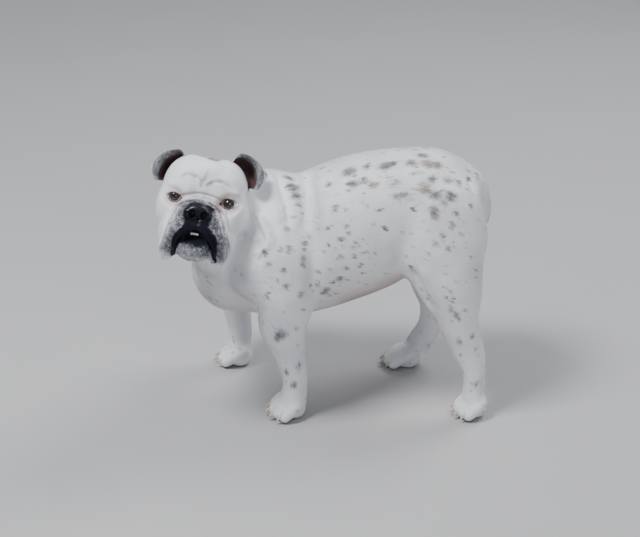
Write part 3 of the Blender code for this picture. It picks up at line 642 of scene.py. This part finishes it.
def paint(mesh, values):
    """Keeps markings on a mesh: two colours, black, grey and tan, and pink, dark red and wet, and the ticks."""
    for name, columns in (("marks", values[:, :3]), ("flesh", values[:, 3:6])):
        colour = mesh.attributes.new(name, "FLOAT_COLOR", "POINT")
        solid = np.hstack([columns, np.ones((len(columns), 1))])
        colour.data.foreach_set("color", solid.astype(np.float32).ravel())
    ticks = mesh.attributes.new("ticks", "FLOAT", "POINT")
    ticks.data.foreach_set("value", values[:, 7].astype(np.float32))


def keep_roots(mesh, roots):
    """Keeps for each point the place on the skin that its pattern is read at."""
    place = mesh.attributes.new("root", "FLOAT_VECTOR", "POINT")
    place.data.foreach_set("vector", np.asarray(roots, np.float32).ravel())


WHITE_HAIR, SHADED_HAIR, TICK_HAIR = (0.86, 0.87, 0.89, 1), (0.74, 0.76, 0.80, 1), (0.20, 0.21, 0.24, 1)
GREY_HAIR, TAN_HAIR, BLACK_SKIN = (0.12, 0.125, 0.15, 1), (0.25, 0.19, 0.15, 1), (0.006, 0.007, 0.013, 1)
# The colour of the ears' hollows is partly their dark red skin and partly painted shade of the hollow.
PINK_SKIN, EAR_SKIN_AND_SHADE = (0.50, 0.30, 0.27, 1), (0.060, 0.024, 0.028, 1)


def plant(tree, kind, inputs=(), **settings):
    """Adds a node, sets it and fills its inputs, by name or number, from sockets or with values."""
    made = tree.nodes.new(kind)
    for name, value in settings.items():
        setattr(made, name, value)
    for name, value in dict(inputs).items():
        if isinstance(value, bpy.types.NodeSocket):
            tree.links.new(value, made.inputs[name])
        else:
            made.inputs[name].default_value = value
    return made


def noise(tree, place, scale, detail=2.0, roughness=0.5):
    ports = {"Vector": place, "Scale": scale, "Detail": detail, "Roughness": roughness}
    return plant(tree, "ShaderNodeTexNoise", ports).outputs


def maths(tree, operation, *values):
    return plant(tree, "ShaderNodeMath", dict(enumerate(values)), operation=operation).outputs[0]


def eased(tree, value, low, high, out_low=0.0, out_high=1.0):
    """A value carried smoothly from one range to another."""
    ports = {"Value": value, "From Min": low, "From Max": high, "To Min": out_low, "To Max": out_high}
    return plant(tree, "ShaderNodeMapRange", ports, interpolation_type="SMOOTHSTEP").outputs["Result"]


def blended(tree, share, first, second):
    return plant(tree, "ShaderNodeMix", {0: share, 6: first, 7: second}, data_type="RGBA").outputs[2]


def coat_group():
    """Hair and skin colour, roughness and grain from the place on the skin and its two marking colours."""
    tree = bpy.data.node_groups.new("dog_coat", "ShaderNodeTree")
    for name, kind in (("Place", "Vector"), ("Marks", "Color"), ("Flesh", "Color"), ("Ticks", "Float")):
        tree.interface.new_socket(name, in_out="INPUT", socket_type="NodeSocket" + kind)
    for name, kind in (("Colour", "Color"), ("Roughness", "Float"), ("Wet", "Float"), ("Grain", "Float"),
                       ("Hair", "Float")):
        tree.interface.new_socket(name, in_out="OUTPUT", socket_type="NodeSocket" + kind)
    given = plant(tree, "NodeGroupInput").outputs
    marks = plant(tree, "ShaderNodeSeparateColor", {0: given["Marks"]}).outputs
    flesh = plant(tree, "ShaderNodeSeparateColor", {0: given["Flesh"]}).outputs
    hairs = noise(tree, given["Place"], 520.0, 3.0, 0.65)["Fac"]
    locks = noise(tree, given["Place"], 150.0, 3.0)["Fac"]
    broad = noise(tree, given["Place"], 16.0)["Fac"]
    stray = noise(tree, given["Place"], 240.0)["Color"]
    ragged = plant(tree, "ShaderNodeVectorMath", {0: stray, 1: (0.006, 0.006, 0.006), 2: given["Place"]},
                   operation="MULTIPLY_ADD").outputs[0]
    cells = plant(tree, "ShaderNodeTexVoronoi", {"Vector": ragged, "Scale": 88.0}).outputs
    chance = plant(tree, "ShaderNodeSeparateColor", {0: cells["Color"]}).outputs
    reach = eased(tree, chance["Red"], 0.15, 1.0, 0.0, 0.34)
    tick = eased(tree, maths(tree, "ADD", cells["Distance"], maths(tree, "MULTIPLY", hairs, 0.10)),
                 maths(tree, "ADD", reach, 0.08), reach)
    tick = maths(tree, "MULTIPLY", tick, eased(tree, chance["Green"], 0.15, 0.9, 0.3, 0.95))
    tick = maths(tree, "MULTIPLY", tick, given["Ticks"])
    mottle = maths(tree, "MULTIPLY_ADD", hairs, 1.3, maths(tree, "MULTIPLY_ADD", locks, 0.9, -1.1))
    colour = blended(tree, eased(tree, broad, 0.35, 0.70), WHITE_HAIR, SHADED_HAIR)
    colour = blended(tree, tick, colour, TICK_HAIR)
    for share, tint, loose in ((marks["Blue"], TAN_HAIR, 1.0), (marks["Green"], GREY_HAIR, 1.2)):
        mottled = maths(tree, "MULTIPLY", mottle, loose)
        mixed = maths(tree, "MULTIPLY_ADD", mottled, eased(tree, share, 0, 0.3), share)
        colour = blended(tree, plant(tree, "ShaderNodeClamp", {0: mixed}).outputs[0], colour, tint)
    colour = blended(tree, flesh["Red"], colour, PINK_SKIN)
    # Painted shade: the ears' hollows take the dark red skin colour, darkened as if shaded.
    bare_ear = eased(tree, maths(tree, "MULTIPLY_ADD", mottle, 0.25, flesh["Green"]), 0.1, 0.9)
    colour = blended(tree, bare_ear, colour, EAR_SKIN_AND_SHADE)
    black = eased(tree, maths(tree, "MULTIPLY_ADD", mottle, 0.5, marks["Red"]), 0.15, 0.85)
    colour = blended(tree, black, colour, BLACK_SKIN)
    along_body = plant(tree, "ShaderNodeMapping", {"Vector": given["Place"], "Scale": (1.0, 0.28, 0.45)})
    strands = noise(tree, along_body.outputs[0], 900.0)["Fac"]
    pebbles = plant(tree, "ShaderNodeTexVoronoi", {"Vector": given["Place"], "Scale": 900.0}).outputs
    grain = plant(tree, "ShaderNodeMix", {0: flesh["Blue"], 2: strands, 3: pebbles["Distance"]}).outputs[0]
    rough = plant(tree, "ShaderNodeMix", {0: flesh["Blue"], 2: 0.75, 3: 0.40}).outputs[0]
    plant(tree, "NodeGroupOutput", {"Colour": colour, "Roughness": rough, "Wet": flesh["Blue"], "Grain": grain,
                                     "Hair": maths(tree, "SUBTRACT", 1.0, marks["Red"])})
    return tree


COAT_GROUP = coat_group()


def coat_material(name, grain_height):
    """The dog's colours on hair or skin, with the grain as bump where the height isn't nothing."""
    made = bpy.data.materials.new(name)
    made.use_nodes = True
    tree = made.node_tree
    bsdf = tree.nodes["Principled BSDF"]
    ports = {port: plant(tree, "ShaderNodeAttribute", attribute_name=source).outputs[output]
             for port, source, output in (("Place", "root", "Vector"), ("Marks", "marks", "Color"),
                                          ("Flesh", "flesh", "Color"), ("Ticks", "ticks", "Fac"))}
    coat = tree.nodes.new("ShaderNodeGroup")
    coat.node_tree = COAT_GROUP
    for port, source in ports.items():
        tree.links.new(source, coat.inputs[port])
    tree.links.new(coat.outputs["Colour"], bsdf.inputs["Base Color"])
    tree.links.new(coat.outputs["Roughness"], bsdf.inputs["Roughness"])
    shine = maths(tree, "MULTIPLY_ADD", coat.outputs["Hair"], 0.3, 0.08)
    tree.links.new(shine, bsdf.inputs["Specular IOR Level"])
    tree.links.new(maths(tree, "MULTIPLY", coat.outputs["Hair"], 0.12), bsdf.inputs["Sheen Weight"])
    wet = maths(tree, "MULTIPLY", coat.outputs["Wet"], 0.3)
    tree.links.new(wet, bsdf.inputs["Coat Weight"])
    bsdf.inputs["Coat Roughness"].default_value = 0.25
    bsdf.inputs["Sheen Roughness"].default_value = 0.5
    if grain_height:
        bump = plant(tree, "ShaderNodeBump", {"Height": coat.outputs["Grain"], "Distance": grain_height,
                                              "Strength": 0.8})
        tree.links.new(bump.outputs["Normal"], bsdf.inputs["Normal"])
    return made


places, facing = coordinates(skin.data), normals_of(skin.data)
skin_marks = markings(places, facing)
paint(skin.data, skin_marks)
keep_roots(skin.data, places)
skin.data.materials.append(coat_material("short_coat", 0.0005))


# The eyes. Each is a wet ball set in its lids: a clear cornea bulges over a dark brown iris and a black
# pupil, and a little of the white shows beside them.
IRIS_TURN, PUPIL_TURN, CORNEA_TURN = np.radians((45, 20, 50))
CORNEA_RISE = 0.10
EYE_ROWS, EYE_COLUMNS = 49, 64
PUPIL_BLACK, IRIS_EDGE = (0.002, 0.002, 0.003, 1), (0.012, 0.008, 0.008, 1)
DARK_BROWN, LIGHT_BROWN = (0.010, 0.006, 0.005, 1), (0.045, 0.022, 0.014, 1)
EYE_WHITE, EYE_RED = (0.50, 0.46, 0.48, 1), (0.36, 0.20, 0.19, 1)
GAZE = {1: (0.02, -1.0, 0.10), -1: (0.04, -1.0, -0.04)}


def eyeball(side):
    """A ball of the eye's radius, its pole turned to the gaze, raised over the cornea by a squared cosine."""
    rows = round_grid(EYE_ROWS, EYE_COLUMNS)
    polar = np.linspace(0, np.pi, EYE_ROWS)[:, None, None]
    bulge = CORNEA_RISE * np.cos(np.clip(polar / CORNEA_TURN, 0, 1) * np.pi / 2) ** 2
    turn = np.array(Vector((0, -1, 0)).rotation_difference(Vector(GAZE[side])).to_matrix())
    centre = np.array((side * EYE_OUT, EYE_DEPTH, 0))
    grid = (rows * (EYE_RADIUS + bulge)) @ turn.T + centre
    piece = grid_piece("eyeball_left" if side > 0 else "eyeball_right", from_head(grid), True)
    angle = piece.data.attributes.new("angle", "FLOAT", "POINT")
    angle.data.foreach_set("value", np.repeat(polar.ravel(), EYE_COLUMNS).astype(np.float32))
    mend(piece)
    return piece


def mend(piece):
    """Merges doubled points, closes poles and turns the faces outwards."""
    bm = bmesh.new()
    bm.from_mesh(piece.data)
    bmesh.ops.remove_doubles(bm, verts=bm.verts, dist=1e-6)
    bmesh.ops.recalc_face_normals(bm, faces=bm.faces)
    bm.to_mesh(piece.data)
    bm.free()
    piece.data.shade_smooth()


def eye_material():
    """Pupil, iris, its dark edge and the white by the angle from the gaze, under one clear wet coat."""
    made = bpy.data.materials.new("wet_eye")
    made.use_nodes = True
    tree = made.node_tree
    bsdf = tree.nodes["Principled BSDF"]
    angle = plant(tree, "ShaderNodeAttribute", attribute_name="angle").outputs["Fac"]
    object_place = plant(tree, "ShaderNodeTexCoord").outputs["Object"]
    fibres = noise(tree, object_place, 700.0, 3.0)["Fac"]
    brown = blended(tree, fibres, DARK_BROWN, LIGHT_BROWN)
    colour = blended(tree, eased(tree, angle, PUPIL_TURN * 0.9, PUPIL_TURN * 1.1), PUPIL_BLACK, brown)
    colour = blended(tree, eased(tree, angle, IRIS_TURN * 0.78, IRIS_TURN * 0.97), colour, IRIS_EDGE)
    white = blended(tree, eased(tree, angle, IRIS_TURN * 1.1, IRIS_TURN * 2.0), EYE_WHITE, EYE_RED)
    colour = blended(tree, eased(tree, angle, IRIS_TURN * 0.98, IRIS_TURN * 1.08), colour, white)
    tree.links.new(colour, bsdf.inputs["Base Color"])
    bsdf.inputs["Roughness"].default_value = 0.08
    bsdf.inputs["Coat Weight"].default_value = 1.0
    bsdf.inputs["Coat Roughness"].default_value = 0.02
    return made


WET_EYE = eye_material()
for side, node in ((1, "eye_left"), (-1, "eye_right")):
    eye = eyeball(side)
    eye.data.materials.append(WET_EYE)
    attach(eye, "root")
    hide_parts(node)


# The lower front teeth. The undershot jaw shows a short row of small white incisors above the dark lower lip.
TOOTH_PLACES = (-0.42, -0.17, 0.08, 0.33, 0.56)
TOOTH_SIZE = (0.12, 0.11, 0.19)
TOOTH_ROW = (0.1, -4.10, -5.08)
TOOTH_CURVE, TOOTH_FALL, TOOTH_SQUARE = 0.35, -0.10, 0.75
IVORY, PALE_IVORY = (0.72, 0.66, 0.60, 1), (0.80, 0.76, 0.72, 1)


def teeth():
    """Pegs as stretched balls with squared sides, in a row that curves back at its ends."""
    pegs = []
    for place in TOOTH_PLACES:
        peg = round_grid(17, 20)
        peg = np.sign(peg) * np.abs(peg) ** TOOTH_SQUARE * TOOTH_SIZE
        square = (place - TOOTH_ROW[0]) ** 2
        root = (place, TOOTH_ROW[1] + TOOTH_CURVE * square, TOOTH_ROW[2] + TOOTH_FALL * square)
        pegs.append(grid_piece("peg", from_head(peg + root), True))
    row = joined("teeth_lower", pegs)
    mend(row)
    return row


def plain_material(name, colour, roughness, grain, grain_scale, grain_height):
    """One colour varied by a fine noise, which also lifts the surface a little."""
    made = bpy.data.materials.new(name)
    made.use_nodes = True
    tree = made.node_tree
    bsdf = tree.nodes["Principled BSDF"]
    place = plant(tree, "ShaderNodeTexCoord").outputs["Object"]
    grains = noise(tree, place, grain_scale, 3.0)["Fac"]
    tree.links.new(blended(tree, grains, colour, grain), bsdf.inputs["Base Color"])
    bump = plant(tree, "ShaderNodeBump", {"Height": grains, "Distance": grain_height})
    tree.links.new(bump.outputs["Normal"], bsdf.inputs["Normal"])
    bsdf.inputs["Roughness"].default_value = roughness
    return made


tooth_row = teeth()
tooth_row.data.materials.append(plain_material("enamel", IVORY, 0.25, PALE_IVORY, 400, 0.0001))
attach(tooth_row, "root")


# The claws. Each toe ends in a short blunt claw of pale horn that curves down to the ground, its root in the
# toe. Paws are the middle of the sole, length, width and turn in degrees.
PAW_PLACES = {
    "forepaw_left": ((0.0804, -0.0531), 0.062, 0.062, 18),
    "forepaw_right": ((-0.1096, -0.1341), 0.060, 0.060, -8),
    "hindpaw_left": ((0.0844, 0.2499), 0.052, 0.053, 14),
    "hindpaw_right": ((-0.0976, 0.1579), 0.068, 0.054, -4),
}
TOES = (-1.5, -0.5, 0.5, 1.5)
CLAW_PATH = ((0.002, 0.0135), (-0.0055, 0.0130), (-0.0110, 0.0104), (-0.0150, 0.0060))
CLAW_ROWS, CLAW_COLUMNS, CLAW_RADIUS = 14, 12, 0.0040
HORN_DARK, HORN_PALE = (0.52, 0.42, 0.36, 1), (0.66, 0.58, 0.52, 1)


def claw(middle, length, width, turn, toe):
    """A round horn carried along a short curved path, narrowing to a blunt tip, in the paw's own turn."""
    tip = -length * (0.27 if abs(toe) > 1 else 0.39)
    across = toe * width * 0.265
    path = spline([(across, tip + ahead, height) for ahead, height in CLAW_PATH], CLAW_ROWS)
    along = np.linspace(0, 1, CLAW_ROWS)[:, None]
    radius = CLAW_RADIUS * np.sqrt(np.clip(1 - along**2.6, 0.0, 1))
    turns = np.linspace(0, 2 * np.pi, CLAW_COLUMNS, endpoint=False)[None]
    ring = np.stack([radius * 0.85 * np.cos(turns), 0 * radius * turns, radius * np.sin(turns)], -1)
    grid = path[:, None] + ring
    spin = np.array(Matrix.Rotation(np.radians(turn), 3, "Z"))
    return grid_piece("claw", grid @ spin.T + (*middle, 0), True)


def claws(name, paw):
    horns = joined(name, [claw(*PAW_PLACES[paw], toe) for toe in TOES])
    mend(horns)
    return horns


HORN = plain_material("pale_horn", HORN_DARK, 0.38, HORN_PALE, 300, 0.0002)
for paw in PAW_PLACES:
    horns = claws(paw.replace("paw", "claws"), paw)
    horns.data.materials.append(HORN)
    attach(horns, "root")


# The coat. Short flat hair lies back from the nose, along the body and down the legs. The skin's own grain
# gives most of it, and small flat tufts break its outline on every side, smallest on the face and feet.
# Pieces are a name and a count of tufts.
COAT_SEED = 11
COAT_PIECES = (("coat_head", 36000), ("coat_chest", 50000), ("coat_flanks", 60000), ("coat_rump", 55000),
               ("coat_legs", 45000))
NET_FACES = 4000
TUFT_STEPS = ((0.0, -0.40, 0.0), (0.0, 0.40, 0.0), (0.5, -0.5, 0.75), (0.5, 0.5, 0.75), (1.0, 0.0, 1.0))
ROOT_DEPTH = 0.0004
SOLE_HEIGHT = 0.003
PATCH_SIZE = 0.003


def skin_triangles(mesh):
    mesh.calc_loop_triangles()
    corners = np.empty(len(mesh.loop_triangles) * 3, np.int32)
    mesh.loop_triangles.foreach_get("vertices", corners)
    return corners.reshape(-1, 3)


def coat_part(middles):
    """Which coat piece covers each place: head, chest and neck, flanks, rump or legs, as a number."""
    local = to_head(middles)
    head = (local[:, 1] < 8.5) & (np.linalg.norm(local - SKULL_MIDDLE, axis=1) < 12.5)
    legs = middles[:, 2] < 0.165
    part = np.where(middles[:, 1] < -0.02, 1, np.where(middles[:, 1] < 0.12, 2, 3))
    return np.where(head, 0, np.where(legs, 4, part))


def hair_share(values):
    """How thickly hair grows: none on black, dark red or wet skin, and less on pink skin."""
    bare = np.maximum.reduce([smooth_step(0.45, 0.8, values[:, 0]), values[:, 4], values[:, 5]])
    return (1 - bare) * (1 - 0.6 * values[:, 3])


def coat_lie(points, normals):
    """The way the hair lies: back from the nose on the head, back and down on the body, down on the legs."""
    local = to_head(points)
    head = smooth_step(11, 7.5, local[:, 1]) * smooth_step(15, 12, np.linalg.norm(local, axis=1))
    from_nose = (local - (0, -6.5, -1.5)) @ HEAD_TURN.T
    from_nose /= np.linalg.norm(from_nose, axis=1)[:, None]
    low = smooth_step(0.22, 0.13, points[:, 2])
    side = 1 - np.abs(normals[:, 2])
    body = np.stack([0 * low, 1 - 0.85 * low, -0.45 * side - 0.9 * low], 1)
    way = body * (1 - head[:, None]) + from_nose * head[:, None]
    way -= normals * (way * normals).sum(1)[:, None]
    return way / np.maximum(np.linalg.norm(way, axis=1), 1e-6)[:, None]


def hair_length(points, on_ear):
    """6 mm on the body, 4.5 on the legs, 3.5 on the head and 2 or less on the muzzle, ears and feet."""
    local = to_head(points)
    from_skull = np.where(local[:, 1] < 10, np.linalg.norm(local - SKULL_MIDDLE, axis=1), 12)
    head = smooth_step(12, 8, from_skull)
    muzzle = smooth_step(1.0, -1.5, local[:, 1]) * head
    legs = smooth_step(0.20, 0.12, points[:, 2])
    feet = smooth_step(0.05, 0.03, points[:, 2])
    length = 0.0062 - 0.0017 * legs - 0.0022 * feet
    return (length * (1 - head) + 0.0036 * head - 0.0017 * muzzle) * (1 - 0.55 * (on_ear > 0.05))


def coat_net(shape):
    """A plain net of the skin, unwrapped, with a tree to find the place of any root on it."""
    net = new_piece("net", shape.data.copy())
    thin = net.modifiers.new("Thin", "DECIMATE")
    thin.ratio = NET_FACES / len(net.data.polygons)
    applied(net)
    bpy.ops.object.select_all(action="DESELECT")
    net.select_set(True)
    bpy.context.view_layer.objects.active = net
    bpy.ops.object.mode_set(mode="EDIT")
    bpy.ops.mesh.select_all(action="SELECT")
    bpy.ops.uv.smart_project(angle_limit=1.15, island_margin=0.004)
    bpy.ops.object.mode_set(mode="OBJECT")
    corners = skin_triangles(net.data)
    loops = np.empty(len(corners) * 3, np.int32)
    net.data.loop_triangles.foreach_get("loops", loops)
    flat = np.empty(len(net.data.loops) * 2, np.float32)
    net.data.uv_layers.active.data.foreach_get("uv", flat)
    points = coordinates(net.data)
    flat = flat.reshape(-1, 2)[loops].reshape(-1, 3, 2)
    tree = BVHTree.FromPolygons(points.tolist(), corners.tolist())
    bpy.data.objects.remove(net)
    return tree, points[corners], flat


def net_places(roots, net):
    """Each root's place on the unwrapped net: its nearest triangle's corners weighed by their shares."""
    tree, triangles, flat = net
    found = [tree.find_nearest(root) for root in roots]
    index = np.array([hit[2] for hit in found])
    spot = np.array([hit[0] for hit in found])
    a, b, c = (triangles[index, k] for k in range(3))
    area = np.cross(b - a, c - a)
    total = np.maximum((area**2).sum(1), 1e-20)
    share_b = (np.cross(spot - a, c - a) * area).sum(1) / total
    share_c = (np.cross(b - a, spot - a) * area).sum(1) / total
    shares = np.stack([1 - share_b - share_c, share_b, share_c], 1)
    return (flat[index] * shares[..., None]).sum(1)


def tufts(name, roots, normals, values, rng, net):
    """Flat tufts of three faces: two points at the root, two half way and a tip, laid along the coat and lifted
    a little. Steps are how far ahead and aside, and how much of the lift."""
    count = len(roots)
    length = hair_length(roots, values[:, 6]) * rng.uniform(0.7, 1.3, count)
    width = 0.15 * length * rng.uniform(0.8, 1.3, count)
    lift = 0.05 * length * rng.uniform(0.3, 1.5, count)
    way = coat_lie(roots, normals)
    across = np.cross(normals, way)
    stray = np.radians(rng.normal(0, 9, count))[:, None]
    way, across = way * np.cos(stray) + across * np.sin(stray), across * np.cos(stray) - way * np.sin(stray)
    points = np.empty((count, 5, 3))
    for corner, (ahead, aside, up) in enumerate(TUFT_STEPS):
        points[:, corner] = (roots + way * (length * ahead)[:, None] + across * (width * aside)[:, None]
                             + normals * (lift * up - ROOT_DEPTH * (ahead == 0))[:, None])
    first = np.arange(count)[:, None] * 5
    faces = np.hstack([first + (0, 2, 3), first + (0, 3, 1), first + (2, 4, 3)]).reshape(-1, 3)
    mesh = bpy.data.meshes.new(name)
    mesh.from_pydata(points.reshape(-1, 3).tolist(), [], faces.tolist())
    mesh.shade_smooth()
    mesh.normals_split_custom_set_from_vertices(np.repeat(normals, 5, 0).tolist())
    keep_roots(mesh, np.repeat(roots, 5, 0))
    paint(mesh, np.repeat(values, 5, 0))
    patch = np.array([(aside * PATCH_SIZE, ahead * PATCH_SIZE) for ahead, aside, up in TUFT_STEPS])
    spread = (net_places(roots, net)[:, None] + patch).reshape(-1, 2)
    layer = mesh.uv_layers.new(name="OFBake")
    layer.data.foreach_set("uv", spread[faces.ravel()].astype(np.float32).ravel())
    return new_piece(name, mesh)


HAIR = coat_material("hair_tufts", 0.0)
rng = np.random.default_rng(COAT_SEED)
triangles = skin_triangles(skin.data)
corners = places[triangles]
middles = corners.mean(1)
areas = np.linalg.norm(np.cross(corners[:, 1] - corners[:, 0], corners[:, 2] - corners[:, 0]), axis=1)
part = coat_part(middles)
net = coat_net(skin)
for number, (name, count) in enumerate(COAT_PIECES):
    weight = areas * (part == number)
    chosen = rng.choice(len(triangles), count, p=weight / weight.sum())
    share = rng.dirichlet((1, 1, 1), count)[..., None]
    roots = (corners[chosen] * share).sum(1)
    normals = (facing[triangles[chosen]] * share).sum(1)
    normals /= np.linalg.norm(normals, axis=1)[:, None]
    values = (skin_marks[triangles[chosen]] * share).sum(1)
    kept = (rng.uniform(size=count) < hair_share(values)) & (roots[:, 2] > SOLE_HEIGHT)
    coat = tufts(name, roots[kept], normals[kept], values[kept], rng, net)
    coat.data.materials.append(HAIR)
    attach(coat, "root")


# The room: a plain pale floor and soft lamps, and the camera at the height and distance of the photograph's,
# a little above the dog's back on its left.
FLOOR_HALF = 8.0
FLOOR_COLOUR, FLOOR_GRAIN = (0.44, 0.44, 0.45, 1), (0.47, 0.47, 0.48, 1)
LAMPS = (
    ((0.8, -1.4, 2.9), 0.9, 105.0),
    ((-1.4, 1.6, 2.8), 1.4, 60.0),
    ((2.8, 1.2, 1.4), 1.6, 18.0),
)
SKY_COLOUR, SKY_STRENGTH = (0.90, 0.95, 1.0, 1), 0.34
CAMERA_PLACE = (2.4386, -0.21605, 1.31819)
CAMERA_AXES = ((0.07296, 0.99683, 0.03188), (-0.40798, 0.00066, 0.91299), (0.91007, -0.07962, 0.40674))
CAMERA_SENSOR, CAMERA_LENS = 36.0, 1634 / 640 * 36.0

corners = np.array([[(-1, -1, 0), (1, -1, 0)], [(-1, 1, 0), (1, 1, 0)]], float) * FLOOR_HALF
floor = grid_piece("floor", corners)
floor.data.materials.append(plain_material("pale_floor", FLOOR_COLOUR, 0.8, FLOOR_GRAIN, 3.0, 0.0005))

for number, (place, size, power) in enumerate(LAMPS):
    light = bpy.data.lights.new("lamp", "AREA")
    light.size = size
    light.energy = power
    lamp = bpy.data.objects.new("lamp", light)
    lamp.location = place
    lamp.rotation_euler = (Vector(place) - Vector((0, 0, 0.2))).to_track_quat("Z", "Y").to_euler()
    bpy.context.scene.collection.objects.link(lamp)
sky = bpy.data.worlds.new("soft_sky")
sky.use_nodes = True
sky.node_tree.nodes["Background"].inputs["Color"].default_value = SKY_COLOUR
sky.node_tree.nodes["Background"].inputs["Strength"].default_value = SKY_STRENGTH
bpy.context.scene.world = sky

lens = bpy.data.cameras.new("camera")
lens.sensor_width = CAMERA_SENSOR
lens.lens = CAMERA_LENS
camera = bpy.data.objects.new("camera", lens)
camera.matrix_world = Matrix.Translation(CAMERA_PLACE) @ Matrix(CAMERA_AXES).transposed().to_4x4()
bpy.context.scene.collection.objects.link(camera)
bpy.context.scene.camera = camera
